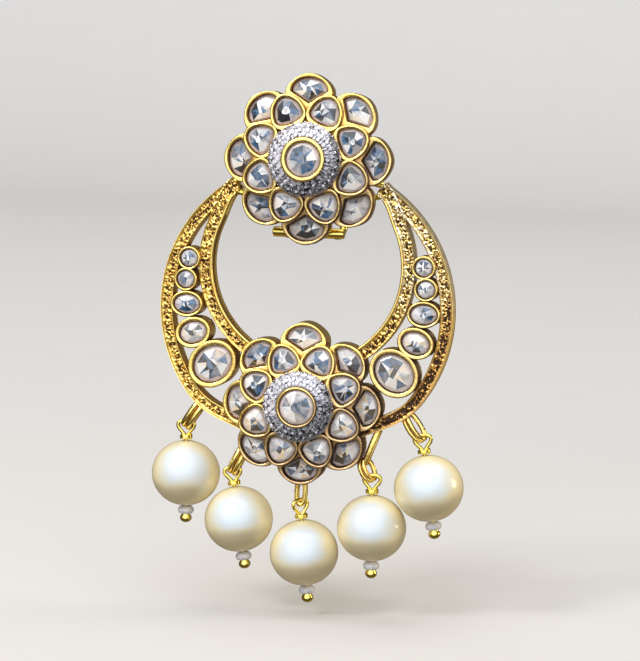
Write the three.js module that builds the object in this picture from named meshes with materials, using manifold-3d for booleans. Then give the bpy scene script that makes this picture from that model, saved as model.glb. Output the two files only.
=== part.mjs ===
// Chandbali earring: a stud flower with an ear clip, and a crescent drop that hangs from it.
// Millimetres, +Z up, front towards -Y. The origin is the middle of the ear pad's back face.
import * as THREE from 'three';
import { mergeVertices } from 'three/addons/utils/BufferGeometryUtils.js';
import Module from 'manifold-3d';

const wasm = await Module();
wasm.setup();

// ---- driving dimensions ----
const PETALS = 8;
const PETAL_STEP = (2 * Math.PI) / PETALS;
const SEAT_GAP = 0.12;         // a stone's clearance all round in its collet
const OVERSHOOT = 1.5;         // how far a cutting solid runs past the face it cuts

// One flower, radii from its middle and heights from its back plane.
const FLOWER = {
  backPetal: {
    base: 4.4, baseHalf: 1.8, wide: 9.0, wideHalf: 3.35, tip: 11.75, arch: 0.48, rim: 2.4, floor: 0.9,
  },
  backStone: { point: 7.75, wide: 9.55, wideHalf: 2.45, tip: 11.1 },
  frontPetal: {
    base: 4.4, baseHalf: 1.8, wide: 6.25, wideHalf: 2.5, tip: 9.4, arch: 0.62, rim: 3.7, floor: 2.1,
  },
  frontStone: { base: 5.3, baseHalf: 1.45, wide: 6.2, wideHalf: 1.92, tip: 8.85, arch: 0.62 },
  drum: { radius: 4.9, top: 3.8 },
  paveRing: {
    inner: 3.2, outer: 5.1, edge: 0.1, foot: 3.9, shoulder: 4.15,
    slopeRadius: 4.55, slope: 4.7, crownRadius: 3.9, crown: 4.95, lip: 5.1,
  },
  bezel: { radius: 3.1, rim: 5.4, bore: 2.35, floor: 4.3 },
};
const STONE = { girdle: 0.45, bevel: 0.4, inset: 0.5 };
// How full the petal outlines' curves are at the tip and down the flanks.
// A petal's own arch is how round its top is.
const CURVE = { tip: 0.42, flank: 0.35, foot: 0.4 };
const KITE = { arch: 0.6, tip: 0.5, cheek: 0.35, pointGap: 1.3 };
const SIDES = { post: 24, pad: 32, ring: 28, bore: 20, barrel: 16, wire: 8, link: 6, bead: 18, pin: 9 };
const CURVE_STEPS = { petal: 3, seat: 2, oval: 7, centre: 8, plate: 8 };

// The stud's flower sits a little to one side of its ear pad.
const STUD = { x: 0.45, backY: -3.0, scale: 1, lift: 0 };
const INTO = 0.4;              // how far a piece soldered to the flower's back runs into it
const EAR_PAD = { radius: 4.6 };

// The clip's barrel lies across, and its wire runs from there down, back and up behind the ear lobe.
const CLIP = { barrelLength: 10.2, barrelRadius: 0.72, y: -0.9, z: -10.3, wire: 0.55, steps: 44 };
const CLIP_LEG = [
  { half: 4.1, y: -0.9, z: -10.3 },
  { half: 4.1, y: 2.2, z: -11.1 },
  { half: 4.1, y: 4.2, z: -10.4 },
  { half: 4.1, y: 5.15, z: -8.3 },
  { half: 3.7, y: 5.15, z: 0 },
  { half: 3.0, y: 5.15, z: 2.3 },
];
const CLIP_TOP = { y: 5.15, z: 3.5 };
const CLIP_BRACKET = { half: 1.3, wall: 0.55, clearance: 0.12 };

// The hinge of the drop: the upper wire of each horn's eye turns in a ring on the stud's back.
const HINGE = { y: -1.6, z: -3.1, wire: 0.42, clearance: 0.11, ringRadius: 0.97, ringFrom: 6.9, ringTo: 8.1 };
const EYE = {
  inner: 5.75, bend: 8.9, straight: 0.4, lower: -5.1, corner: 0.6,
  hornX: 10.9, hornTop: -3.5, hornLow: -4.7, steps: 26,
};

// The crescent lies between an outer and an inner circle, and each of its two strips follows one of them.
const CRESCENT = { backY: 0.02, thickness: 2.4, hornEnd: 10.2, hornCut: 6 };
const OUTER = {
  z: -21, radius: 20.9, width: 1.85, drawIn: 1.4, drawFrom: -38, drawTo: -64, from: 64, steps: 46,
};
const INNER = {
  z: -14.9, radius: 13.4, width: 2.0, flare: 0.8, flareFrom: 24, flareTo: 46, from: 50, steps: 40,
};
const LOWER = { x: 0, z: -34.2, scale: 0.975, lift: 1.1 };
const SIDE_BEZEL = { rim: 3.2, floor: 1.7, bridgeHalf: 0.5, bridgeTop: 1.3 };
const SIDE_STONES = [
  { x: 16.65, z: -14.4, long: 2.35, short: 2.35, tilt: 0, wall: 0.36 },
  { x: 17.05, z: -17.4, long: 2.35, short: 2.35, tilt: 0, wall: 0.36 },
  { x: 16.85, z: -20.85, long: 3.6, short: 2.65, tilt: 0, wall: 0.42 },
  { x: 15.85, z: -24.85, long: 3.8, short: 3.0, tilt: -18, wall: 0.58 },
  { x: 12.96, z: -29.15, long: 5.8, short: 4.8, tilt: -40, wall: 0.68 },
];

// Pearls hang on pins. lean turns a pin about its pearl's middle, bottom towards +X, and turn is how far its
// eye faces round from the front. A link's wire crosses the eye.
const PEARL = { radius: 4.85, halfHeight: 4.65, hole: 0.45, depth: 1.2 };
const PIN = {
  radius: 0.28, collar: 0.85, collarHeight: 0.65, collarTop: 0.5, into: 0.2, eye: 1.15, eyeWire: 0.27,
};
const SEED = { radius: 1.15, height: 1.15, gap: 0.1, lowRadius: 0.92, topRadius: 0.86, widest: 0.46 };
const BALL = { radius: 0.85, height: 1.25, endRadius: 0.5, endRise: 0.1, neck: 0.6 };
const LINK = { wire: 0.27, half: 0.78, across: 90, rest: 0.74, into: 0.6, neck: 0.4, steps: 15 };
const PEARLS = [
  { x: -16.9, z: -45.15, lean: 1, turn: 6, rootX: -14.9, rootZ: -35.2 },
  { x: -9.0, z: -51.3, lean: 9, turn: 6, rootX: -8.5, rootZ: -41.4 },
  { x: 0.6, z: -55.45, lean: 6, turn: 45, rootX: 0, rootZ: -45.3 },
  { x: 10.2, z: -51.3, lean: 1, turn: 6, rootX: 8.9, rootZ: -42.0 },
  { x: 18.1, z: -45.15, lean: 9, turn: 6, rootX: 14.9, rootZ: -35.2 },
];
const STRUT = { topX: 10.9, topZ: -37.2, half: 0.5, from: 0.5, to: 1.9 };

// ---- materials ----
const gold = { color: 0xd8a034, metalness: 1, roughness: 0.3 };
const rhodium = { color: 0xb9bcc4, metalness: 0.9, roughness: 0.35 };
const glass = { color: 0xe3e1ea, metalness: 0.1, roughness: 0.08 };
const pearlCoat = { color: 0xf0e8d2, metalness: 0, roughness: 0.22 };

// ---- tools ----
const vector = (x, y, z) => new THREE.Vector3(x, y, z);
const degrees = (value) => (value * Math.PI) / 180;
const smooth = (t) => { const c = Math.min(1, Math.max(0, t)); return c * c * (3 - 2 * c); };

function solidOf(geometry) {
  const bare = geometry.clone();
  bare.deleteAttribute('normal');
  bare.deleteAttribute('uv');
  const merged = mergeVertices(bare, 1e-5);
  const corners = Array.from(merged.index.array);
  const kept = [];
  for (let i = 0; i < corners.length; i += 3) {
    const [a, b, c] = corners.slice(i, i + 3);
    if (a !== b && b !== c && c !== a) kept.push(a, b, c);
  }
  return new wasm.Manifold(new wasm.Mesh({
    numProp: 3,
    vertProperties: new Float32Array(merged.attributes.position.array),
    triVerts: new Uint32Array(kept),
  }));
}

function geometryOf(solid) {
  const mesh = solid.getMesh();
  const geometry = new THREE.BufferGeometry();
  geometry.setAttribute('position', new THREE.BufferAttribute(new Float32Array(mesh.vertProperties), 3));
  geometry.setIndex(new THREE.BufferAttribute(new Uint32Array(mesh.triVerts), 1));
  return geometry;
}

function join(solids) {
  return solids.reduce((all, one) => all.add(one));
}

// A prism of an XZ outline between two depths; low is its back height and high its front height.
function slab(shape, low, high, curveSegments) {
  const geometry = new THREE.ExtrudeGeometry(shape, { depth: high - low, bevelEnabled: false, curveSegments });
  return geometry.rotateX(Math.PI / 2).translate(0, -low, 0);
}

// A round bar along Y, between two heights in front of the back plane.
function post(radius, low, high, sides = SIDES.post) {
  return new THREE.CylinderGeometry(radius, radius, high - low, sides).translate(0, -(low + high) / 2, 0);
}

function rod(start, end, radius, sides) {
  const along = new THREE.Vector3().subVectors(end, start);
  const turn = new THREE.Quaternion().setFromUnitVectors(new THREE.Vector3(0, 1, 0), along.clone().normalize());
  const middle = new THREE.Vector3().addVectors(start, end).multiplyScalar(0.5);
  return new THREE.CylinderGeometry(radius, radius, along.length(), sides)
    .applyQuaternion(turn).translate(middle.x, middle.y, middle.z);
}

function wireAlong(points, radius, steps, sides = SIDES.wire) {
  const section = new THREE.Shape().absarc(0, 0, radius, 0, 2 * Math.PI);
  const path = new THREE.CatmullRomCurve3(points);
  return new THREE.ExtrudeGeometry(section, {
    steps, curveSegments: sides / 2, bevelEnabled: false, extrudePath: path,
  });
}

// ---- outlines ----
// A petal outline grows from a narrow base to its widest line and closes in a round arch at the tip.
function petalShape({ base, baseHalf, wide, wideHalf, tip, arch }, grow = 0) {
  const [low, half, widest, top] = [base - grow, baseHalf + grow, wideHalf + grow, tip + grow];
  const shoulder = wide + arch * (top - wide);
  const flank = wide - CURVE.flank * (wide - low);
  const foot = half + CURVE.foot * (widest - half);
  const shape = new THREE.Shape();
  shape.moveTo(-half, low);
  shape.lineTo(half, low);
  shape.bezierCurveTo(foot, low, widest, flank, widest, wide);
  shape.bezierCurveTo(widest, shoulder, widest * CURVE.tip, top, 0, top);
  shape.bezierCurveTo(-widest * CURVE.tip, top, -widest, shoulder, -widest, wide);
  shape.bezierCurveTo(-widest, flank, -foot, low, -half, low);
  return shape;
}

// A back petal's stone is a kite with an arched top, because two front petals lie over its lower sides.
function kiteShape({ point, wide, wideHalf, tip }, grow = 0) {
  const [low, half, top] = [point - grow * KITE.pointGap, wideHalf + grow, tip + grow];
  const [cheek, arch] = [wide - KITE.cheek, wide + KITE.arch * (top - wide)];
  const shape = new THREE.Shape();
  shape.moveTo(0, low);
  shape.lineTo(half, cheek);
  shape.bezierCurveTo(half, arch, half * KITE.tip, top, 0, top);
  shape.bezierCurveTo(-half * KITE.tip, top, -half, arch, -half, cheek);
  return shape;
}

function ovalShape(long, short, tilt) {
  return new THREE.Shape().absellipse(0, 0, long / 2, short / 2, 0, 2 * Math.PI, false, degrees(tilt));
}

// A cut stone: the outline at its girdle, bevelled to a smaller table in front and culet face behind.
function stoneOf(shape, floor, curveSegments) {
  const geometry = new THREE.ExtrudeGeometry(shape, {
    depth: STONE.girdle, bevelEnabled: true, bevelThickness: STONE.bevel, bevelSize: STONE.inset,
    bevelOffset: -STONE.inset, bevelSegments: 1, curveSegments,
  });
  return geometry.rotateX(Math.PI / 2).translate(0, -(floor + SEAT_GAP + STONE.bevel), 0);
}

// ---- the flower, the same on the stud and on the crescent ----
function flowerPlace(geometry, { x, scale }, y, z, angle = 0) {
  return geometry.rotateY(angle).scale(scale, scale, scale).translate(x, y, z);
}

function flowerMetal(at, y, z) {
  const { backPetal, backStone, frontPetal, frontStone, drum, bezel } = FLOWER;
  const { petal, seat } = CURVE_STEPS;
  const up = at.lift;
  const place = (geometry, angle) => solidOf(flowerPlace(geometry, at, y, z, angle));
  const body = [place(post(drum.radius, 0, up + drum.top)), place(post(bezel.radius, 0, up + bezel.rim))];
  const cuts = [place(post(bezel.bore, up + bezel.floor, up + bezel.rim + OVERSHOOT))];
  for (let k = 0; k < PETALS; k += 1) {
    const back = k * PETAL_STEP;
    const front = back + PETAL_STEP / 2;
    body.push(place(slab(petalShape(backPetal), 0, up + backPetal.rim, petal), back));
    body.push(place(slab(petalShape(frontPetal), up + backPetal.floor, up + frontPetal.rim, petal), front));
    const [backSeat, frontSeat] = [kiteShape(backStone, SEAT_GAP), petalShape(frontStone, SEAT_GAP)];
    cuts.push(place(slab(backSeat, up + backPetal.floor, up + backPetal.rim + OVERSHOOT, seat), back));
    cuts.push(place(slab(frontSeat, up + frontPetal.floor, up + frontPetal.rim + OVERSHOOT, seat), front));
  }
  return { body, cuts };
}

function flowerStones(prefix, at, y, z) {
  const { backPetal, backStone, frontPetal, frontStone, bezel } = FLOWER;
  const { seat, centre } = CURVE_STEPS;
  const stones = [];
  for (let k = 0; k < PETALS; k += 1) {
    const back = stoneOf(kiteShape(backStone), at.lift + backPetal.floor, seat);
    const front = stoneOf(petalShape(frontStone), at.lift + frontPetal.floor, seat);
    stones.push([`${prefix}_back_stone_${k + 1}`, flowerPlace(back, at, y, z, k * PETAL_STEP), glass]);
    const place = flowerPlace(front, at, y, z, (k + 0.5) * PETAL_STEP);
    stones.push([`${prefix}_front_stone_${k + 1}`, place, glass]);
  }
  const width = 2 * (bezel.bore - SEAT_GAP);
  const round = stoneOf(ovalShape(width, width, 0), at.lift + bezel.floor, centre);
  stones.push([`${prefix}_centre_stone`, flowerPlace(round, at, y, z), glass]);
  return stones;
}

function paveRing(at, y, z) {
  const { inner, outer, edge, foot, shoulder, slopeRadius, slope, crownRadius, crown, lip } = FLOWER.paveRing;
  const profile = [[inner, foot], [outer - edge, foot], [outer, shoulder], [slopeRadius, slope],
    [crownRadius, crown], [inner, lip], [inner, foot]];
  const points = profile.map(([radius, height]) => new THREE.Vector2(radius, -(at.lift + height)));
  return flowerPlace(new THREE.LatheGeometry(points.reverse(), SIDES.ring), at, y, z);
}

// ---- the stud ----
// A prism of a YZ outline, from one X and so wide.
function plateAcross(shape, fromX, width) {
  const geometry = new THREE.ExtrudeGeometry(shape, {
    depth: width, bevelEnabled: false, curveSegments: CURVE_STEPS.plate,
  });
  const turn = new THREE.Matrix4().makeBasis(vector(0, 1, 0), vector(0, 0, 1), vector(1, 0, 0));
  return geometry.applyMatrix4(turn).translate(fromX, 0, 0);
}

function barAcross({ y, z }, from, to, radius, sides) {
  return rod(vector(from, y, z), vector(to, y, z), radius, sides);
}

// The outline of an eye that stands on the stud's back: a neck and a round end about the axis at y, z.
function eyeOutline({ y, z }, radius, footLow) {
  const foot = STUD.backY - INTO;
  const shape = new THREE.Shape();
  shape.moveTo(foot, z + radius);
  shape.lineTo(y, z + radius);
  shape.absarc(y, z, radius, Math.PI / 2, -Math.PI / 2, true);
  shape.lineTo(foot, z - footLow);
  return shape;
}

function studFrame() {
  const { body, cuts } = flowerMetal(STUD, STUD.backY, 0);
  body.push(solidOf(post(EAR_PAD.radius, 0, INTO - STUD.backY, SIDES.pad)));
  const width = HINGE.ringTo - HINGE.ringFrom;
  const ring = eyeOutline(HINGE, HINGE.ringRadius, HINGE.ringRadius);
  for (const side of [-1, 1]) {
    const middle = side * (HINGE.ringFrom + width / 2);
    const bore = HINGE.wire + HINGE.clearance;
    body.push(solidOf(plateAcross(ring, middle - width / 2, width)));
    cuts.push(solidOf(barAcross(HINGE, middle - width, middle + width, bore, SIDES.bore)));
  }
  const clipBore = CLIP.barrelRadius + CLIP_BRACKET.clearance;
  const reach = CLIP_BRACKET.half;
  const bracket = eyeOutline(CLIP, clipBore + CLIP_BRACKET.wall, clipBore);
  body.push(solidOf(plateAcross(bracket, -reach, 2 * reach)));
  cuts.push(solidOf(barAcross(CLIP, -2 * reach, 2 * reach, clipBore, SIDES.bore)));
  return join(body).subtract(join(cuts));
}

function earClip() {
  const leg = (side) => CLIP_LEG.map(({ half, y, z }) => vector(side * half, y, z));
  const loop = [...leg(-1), vector(0, CLIP_TOP.y, CLIP_TOP.z), ...leg(1).reverse()];
  const reach = CLIP.barrelLength / 2;
  const barrel = barAcross(CLIP, -reach, reach, CLIP.barrelRadius, SIDES.barrel);
  return solidOf(barrel).add(solidOf(wireAlong(loop, CLIP.wire, CLIP.steps)));
}

// ---- the crescent ----
const outerRadius = (angle) => OUTER.radius
  - OUTER.drawIn * smooth((OUTER.drawFrom - angle) / (OUTER.drawFrom - OUTER.drawTo));
const innerRadius = (angle) => INNER.radius
  + INNER.flare * smooth((angle - INNER.flareFrom) / (INNER.flareTo - INNER.flareFrom));

// A strip's outline: along one edge from the right horn round the bottom to the left horn, and back.
function stripShape({ z, from, steps }, farEdge, nearEdge) {
  const point = (edge, t) => {
    const angle = from - (180 + 2 * from) * t;
    const rightAngle = angle < -90 ? -180 - angle : angle;
    const radius = edge(rightAngle);
    return [radius * Math.cos(degrees(angle)), z + radius * Math.sin(degrees(angle))];
  };
  const shape = new THREE.Shape();
  shape.moveTo(...point(farEdge, 0));
  for (let i = 1; i <= steps; i += 1) shape.lineTo(...point(farEdge, i / steps));
  for (let i = steps; i >= 0; i -= 1) shape.lineTo(...point(nearEdge, i / steps));
  return shape;
}

function strips() {
  const { hornEnd, hornCut, thickness } = CRESCENT;
  const outer = stripShape(OUTER, outerRadius, (angle) => outerRadius(angle) - OUTER.width);
  const inner = stripShape(INNER, (angle) => innerRadius(angle) + INNER.width, innerRadius);
  const both = join([outer, inner].map((shape) => solidOf(slab(shape, 0, thickness, 1))));
  const betweenHorns = solidOf(new THREE.BoxGeometry(2 * hornEnd, 3 * thickness, 2 * hornCut));
  return both.subtract(betweenHorns);
}

// How far a ray from the inner circle's middle runs before it meets the outer strip.
function reachToOuter(dz) {
  const rise = INNER.z - OUTER.z;
  const edge = OUTER.radius - OUTER.width;
  return -rise * dz + Math.sqrt(rise * rise * dz * dz - rise * rise + edge * edge);
}

// Each bezel stands on a bridge that joins the two strips behind it.
function sideBezels() {
  const { rim, floor, bridgeHalf, bridgeTop } = SIDE_BEZEL;
  const body = [];
  const cuts = [];
  for (const side of [-1, 1]) {
    for (const { x, z, long, short, tilt, wall } of SIDE_STONES) {
      const [bore, outside] = [2 * SEAT_GAP, 2 * (SEAT_GAP + wall)];
      const wallShape = ovalShape(long + outside, short + outside, side * tilt);
      const seatShape = ovalShape(long + bore, short + bore, side * tilt);
      const collet = slab(wallShape, 0, rim, CURVE_STEPS.oval);
      const seat = slab(seatShape, floor, rim + OVERSHOOT, CURVE_STEPS.oval);
      body.push(solidOf(collet.translate(side * x, 0, z)));
      cuts.push(solidOf(seat.translate(side * x, 0, z)));
      const angle = Math.atan2(z - INNER.z, x);
      const from = INNER.radius + INNER.width / 2;
      const to = reachToOuter(Math.sin(angle)) + OUTER.width / 2;
      const bridge = new THREE.BoxGeometry(to - from, bridgeTop, 2 * bridgeHalf)
        .translate((from + to) / 2, -bridgeTop / 2, 0)
        .rotateY(side > 0 ? -angle : angle - Math.PI).translate(0, 0, INNER.z);
      body.push(solidOf(bridge));
    }
  }
  return { body, cuts };
}

function hornEye(side) {
  const { inner, bend, straight, lower, corner, hornX, hornTop, hornLow } = EYE;
  const at = (x, z) => vector(side * x, HINGE.y, z);
  return wireAlong([
    at(hornX, hornTop), at(bend, HINGE.z), at(bend - straight, HINGE.z), at(inner + corner + straight, HINGE.z),
    at(inner + corner, HINGE.z), at(inner, HINGE.z - corner),
    at(inner, lower + corner), at(inner + corner, lower),
    at(bend, lower), at(hornX, hornLow),
  ], HINGE.wire, EYE.steps);
}

// ---- the pearls ----
const pearlY = CRESCENT.backY - PEARL.depth;
const eyeMiddle = PEARL.halfHeight + PIN.collarHeight - SEED.gap + PIN.eye;

// A U of wire, soldered to the frame at the root, that holds the eye of a pearl's pin in its bend.
function pearlLink({ x, z, lean, turn, rootX, rootZ }) {
  const rise = eyeMiddle + PIN.eye;
  const eyeTop = vector(x - rise * Math.sin(degrees(lean)), pearlY, z + rise * Math.cos(degrees(lean)));
  const lowest = eyeTop.clone().sub(vector(0, 0, LINK.rest));
  const root = vector(rootX, pearlY, rootZ);
  const along = lowest.clone().sub(root).normalize();
  const middle = lowest.clone().addScaledVector(along, -LINK.half);
  const facing = degrees(turn - LINK.across);
  const across = vector(-along.z * Math.cos(facing), Math.sin(facing), along.x * Math.cos(facing));
  const at = (origin, sideways, onwards) => origin.clone()
    .addScaledVector(across, sideways).addScaledVector(along, onwards);
  const bend = [0, 0.25, 0.5, 0.75, 1].map((part) => at(
    middle, LINK.half * Math.cos(Math.PI * part), LINK.half * Math.sin(Math.PI * part),
  ));
  const path = [at(root, LINK.neck, -LINK.into), ...bend, at(root, -LINK.neck, -LINK.into)];
  return wireAlong(path, LINK.wire, LINK.steps, SIDES.link);
}

// The fourth pearl's link hangs below a petal, so a strut ties it to the crescent's rim.
function linkStrut() {
  const top = vector(STRUT.topX, 0, STRUT.topZ);
  const root = vector(PEARLS[3].rootX, 0, PEARLS[3].rootZ);
  const along = root.clone().sub(top);
  const bar = new THREE.BoxGeometry(2 * STRUT.half, STRUT.to - STRUT.from, along.length() + 2 * STRUT.half)
    .rotateY(Math.atan2(along.x, along.z));
  const middle = top.add(root).multiplyScalar(0.5);
  return bar.translate(middle.x, CRESCENT.backY - (STRUT.from + STRUT.to) / 2, middle.z);
}

function crescentFrame() {
  const { body, cuts } = flowerMetal(LOWER, CRESCENT.backY, LOWER.z);
  const bezels = sideBezels();
  const onBack = (solid) => solid.translate([0, CRESCENT.backY, 0]);
  body.push(...[strips(), ...bezels.body].map(onBack));
  cuts.push(...bezels.cuts.map(onBack));
  for (const side of [-1, 1]) body.push(solidOf(hornEye(side)));
  body.push(solidOf(linkStrut()));
  body.push(...PEARLS.map((pearl) => solidOf(pearlLink(pearl))));
  return join(body).subtract(join(cuts));
}

function sideStones() {
  const stones = [];
  for (const [name, side] of [['left', -1], ['right', 1]]) {
    SIDE_STONES.forEach(({ x, z, long, short, tilt }, i) => {
      const stone = stoneOf(ovalShape(long, short, side * tilt), SIDE_BEZEL.floor, CURVE_STEPS.oval);
      stones.push([`${name}_stone_${i + 1}`, stone.translate(side * x, CRESCENT.backY, z), glass]);
    });
  }
  return stones;
}

function turned(profile, segments) {
  const points = profile.map(([radius, height]) => new THREE.Vector2(radius, height));
  return new THREE.LatheGeometry(points, segments).rotateX(Math.PI / 2);
}

function pearlBead() {
  const { radius, halfHeight, hole } = PEARL;
  const steps = 9;
  const start = Math.acos(hole / radius);
  const profile = [];
  for (let i = 0; i <= steps; i += 1) {
    const angle = -start + (2 * start * i) / steps;
    profile.push([radius * Math.cos(angle), halfHeight * Math.sin(angle)]);
  }
  profile.push(profile[0]);
  return turned(profile, SIDES.bead);
}

// The head pin: a ball end, the seed bead over it, the shank through the pearl, a wrapped collar and an eye.
function pearlPin(turn) {
  const seedTop = -(PEARL.halfHeight + SEED.gap);
  const seedLow = seedTop - SEED.height;
  const end = seedLow - BALL.height;
  const shank = turned([
    [0, end], [BALL.endRadius, end + BALL.endRise], [BALL.radius, (end + seedLow) / 2], [BALL.neck, seedLow],
    [SEED.lowRadius, seedLow], [SEED.radius, seedLow + SEED.widest], [SEED.topRadius, seedTop],
    [PIN.radius, seedTop], [PIN.radius, PEARL.halfHeight + PIN.into], [0, PEARL.halfHeight + PIN.into],
  ], SIDES.pin);
  const foot = PEARL.halfHeight + SEED.gap;
  const collar = turned([
    [0, foot], [PIN.collar, foot], [PIN.collar, foot + PIN.collarHeight / 2],
    [PIN.collarTop, foot + PIN.collarHeight], [0, foot + PIN.collarHeight],
  ], SIDES.pin);
  const eye = new THREE.TorusGeometry(PIN.eye, PIN.eyeWire, 6, 14)
    .rotateX(Math.PI / 2).rotateZ(degrees(turn)).translate(0, 0, eyeMiddle);
  return geometryOf(join([shank, collar, eye].map(solidOf)));
}

function hangingPearls() {
  const pieces = [];
  PEARLS.forEach(({ x, z, lean, turn }, i) => {
    const hang = (geometry) => geometry.rotateY(-degrees(lean)).translate(x, pearlY, z);
    pieces.push([`pearl_${i + 1}`, hang(pearlBead()), pearlCoat]);
    pieces.push([`pearl_pin_${i + 1}`, hang(pearlPin(turn)), gold]);
  });
  return pieces;
}

// ---- the assembly ----
const earring = new THREE.Group();
const pieces = [
  ['stud_flower_frame', geometryOf(studFrame()), gold],
  ['stud_pave_ring', paveRing(STUD, STUD.backY, 0), rhodium],
  ...flowerStones('stud', STUD, STUD.backY, 0),
  ['ear_clip', geometryOf(earClip()), gold],
  ['crescent_frame', geometryOf(crescentFrame()), gold],
  ['drop_pave_ring', paveRing(LOWER, CRESCENT.backY, LOWER.z), rhodium],
  ...flowerStones('drop', LOWER, CRESCENT.backY, LOWER.z),
  ...sideStones(),
  ...hangingPearls(),
];
for (const [name, geometry, look] of pieces) {
  const mesh = new THREE.Mesh(geometry, new THREE.MeshStandardMaterial(look));
  mesh.name = name;
  earring.add(mesh);
}

export default earring;
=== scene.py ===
import random
from contextlib import contextmanager
from math import acos, atan2, copysign, cos, degrees, hypot, pi, radians, sin, sqrt, tau
from typing import NamedTuple

import bmesh
import bpy
from bpy.props import FloatProperty, FloatVectorProperty, PointerProperty
from mathutils import Matrix, Vector


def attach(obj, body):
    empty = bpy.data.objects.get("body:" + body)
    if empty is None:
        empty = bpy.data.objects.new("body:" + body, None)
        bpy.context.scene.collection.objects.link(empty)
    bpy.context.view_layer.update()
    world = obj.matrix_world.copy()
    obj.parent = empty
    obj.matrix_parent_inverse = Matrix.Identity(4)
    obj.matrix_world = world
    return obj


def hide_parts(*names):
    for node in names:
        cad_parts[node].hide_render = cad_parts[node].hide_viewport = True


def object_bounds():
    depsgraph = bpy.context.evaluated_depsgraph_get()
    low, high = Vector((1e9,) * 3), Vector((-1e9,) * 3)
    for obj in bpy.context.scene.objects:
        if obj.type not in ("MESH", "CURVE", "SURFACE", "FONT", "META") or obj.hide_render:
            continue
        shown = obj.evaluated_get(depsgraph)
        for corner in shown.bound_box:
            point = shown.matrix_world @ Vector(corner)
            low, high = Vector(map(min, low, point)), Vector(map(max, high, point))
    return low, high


bl_info = {
    "name": "Chandbali earring",
    "version": (1, 0, 0),
    "blender": (4, 5, 0),
    "location": "3D View > Sidebar > Chandbali",
    "description": "Models a chandbali earring: a stud flower and a hinged crescent with five pearls",
    "category": "Add Mesh",
}

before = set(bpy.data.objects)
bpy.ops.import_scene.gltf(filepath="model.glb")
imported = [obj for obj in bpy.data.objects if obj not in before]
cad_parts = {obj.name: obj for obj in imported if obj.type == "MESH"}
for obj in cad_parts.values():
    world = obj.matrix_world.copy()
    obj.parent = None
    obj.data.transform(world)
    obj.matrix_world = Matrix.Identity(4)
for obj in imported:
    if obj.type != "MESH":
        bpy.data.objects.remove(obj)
CAD_BOX = [list(corner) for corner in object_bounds()]
STUD, DROP = "stud", "drop"
MM = 0.001
PETALS = 8
PETAL_STEP = tau / PETALS
SIDES = {"left": -1, "right": 1}
ROUND = 0.5523  # a curve's handle, as a share of the radius, that makes a quarter circle

# The two flowers: the middle of each one's back plane, its size, how far its petals are lifted off that
# plane, the centre bezel's outer and inner radius in millimetres, the seed of its small unevennesses, and
# how much gold shows through its stones.
STUD_FLOWER = {
    "at": (0.45 * MM, -3.0 * MM, 0.0), "size": 1.0, "lift": 0.0, "bezel": (3.1, 2.36),
    "seed": 11, "warmth": 0.35,
}
DROP_FLOWER = {
    "at": (0.0, 0.02 * MM, -34.2 * MM), "size": 0.975, "lift": 1.1 * MM, "bezel": (2.98, 2.5),
    "seed": 23, "warmth": 1.0,
}
CRESCENT_BACK = 0.02 * MM


# ---- sizes and colours ----
def length(name, description, default):
    return FloatProperty(name=name, description=description, default=default * MM, unit="LENGTH", min=0.0)


def colour(name, description, default):
    return FloatVectorProperty(
        name=name, description=description, default=default, subtype="COLOR", size=3, min=0.0, max=1.0
    )


class FlowerSizes(bpy.types.PropertyGroup):
    back_rim: length("Back rim", "Height of the back petals' rims above the flower's back", 2.4)
    back_floor: length("Back seat", "Height of the back petals' seats", 0.9)
    front_rim: length("Front rim", "Height of the front petals' rims", 3.7)
    front_floor: length("Front seat", "Height of the front petals' seats", 2.1)
    bezel_rim: length("Bezel rim", "Height of the centre bezel's rim", 5.4)
    bezel_floor: length("Bezel seat", "Height of the centre bezel's seat", 4.3)
    rim_round: length("Rim round", "How far a collet's rim is rounded over", 0.19)
    stone_crown: length("Stone crown", "How far a stone's crown rises from its girdle", 0.3)
    stone_tip: length("Stone tip", "How far a stone's middle rises from its crown", 0.34)
    petal_lean: FloatProperty(
        name="Petal lean", description="How far a petal's tip falls away",
        default=radians(5), subtype="ANGLE",
    )
    pave_stone: length("Small stone", "Radius of a small stone in the ring", 0.46)
    prong: length("Prong", "Radius of the grains that hold the small stones", 0.12)


class CrescentSizes(bpy.types.PropertyGroup):
    thickness: length("Thickness", "How thick the two strips are", 2.4)
    outer_width: length("Outer width", "Width of the outer strip", 1.85)
    inner_width: length("Inner width", "Width of the inner strip", 2.0)
    edge: length("Edge", "Width of a strip's smooth raised edge", 0.28)
    grain: length("Grain", "Size of the lumps on the strips", 0.7)
    grain_depth: length("Grain depth", "How deep the texture is cut", 0.14)


class PearlSizes(bpy.types.PropertyGroup):
    radius: length("Pearl radius", "Radius of a pearl across", 4.85)
    half_height: length("Pearl half height", "Half of a pearl's height along its hole", 4.65)
    hole: length("Hole", "Radius of the drilled hole", 0.42)
    pin_wire: length("Pin wire", "Radius of the head pin's wire", 0.27)
    seed: length("Seed bead", "Radius of the glass bead below a pearl", 1.15)


class MetalColours(bpy.types.PropertyGroup):
    bright: colour("Bright gold", "Gold on the rims and high places", (1.0, 0.79, 0.24))
    warm: colour("Warm gold", "Gold in the hollows and on the walls", (0.82, 0.38, 0.07))
    # Pale gold is laid by position on the upper right horn.
    pale: colour("Pale gold", "Gold where the plating is thin, on the right horn", (1.0, 0.91, 0.68))
    # Dull gold is painted towards the lower right: shade with tarnish.
    dull: colour("Dull gold", "Rims that were never polished", (0.80, 0.50, 0.28))
    wire: colour("Wire gold", "Gold of the pins and links", (0.92, 0.76, 0.17))
    # Dark brown painted in hollows, on walls and towards the lower right: patina with painted shade.
    soil: colour("Soil", "Dark brown tarnish in the grooves", (0.050, 0.021, 0.008))
    rhodium: colour("Rhodium", "White metal round the small stones", (0.84, 0.83, 0.90))
    # Dark grey painted between the small stones: painted shade in the gaps, with tarnish.
    tarnish_and_gap_shade: colour("Tarnish and gap shade", "Dark tarnish between the small stones", (0.02, 0.018, 0.02))


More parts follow.
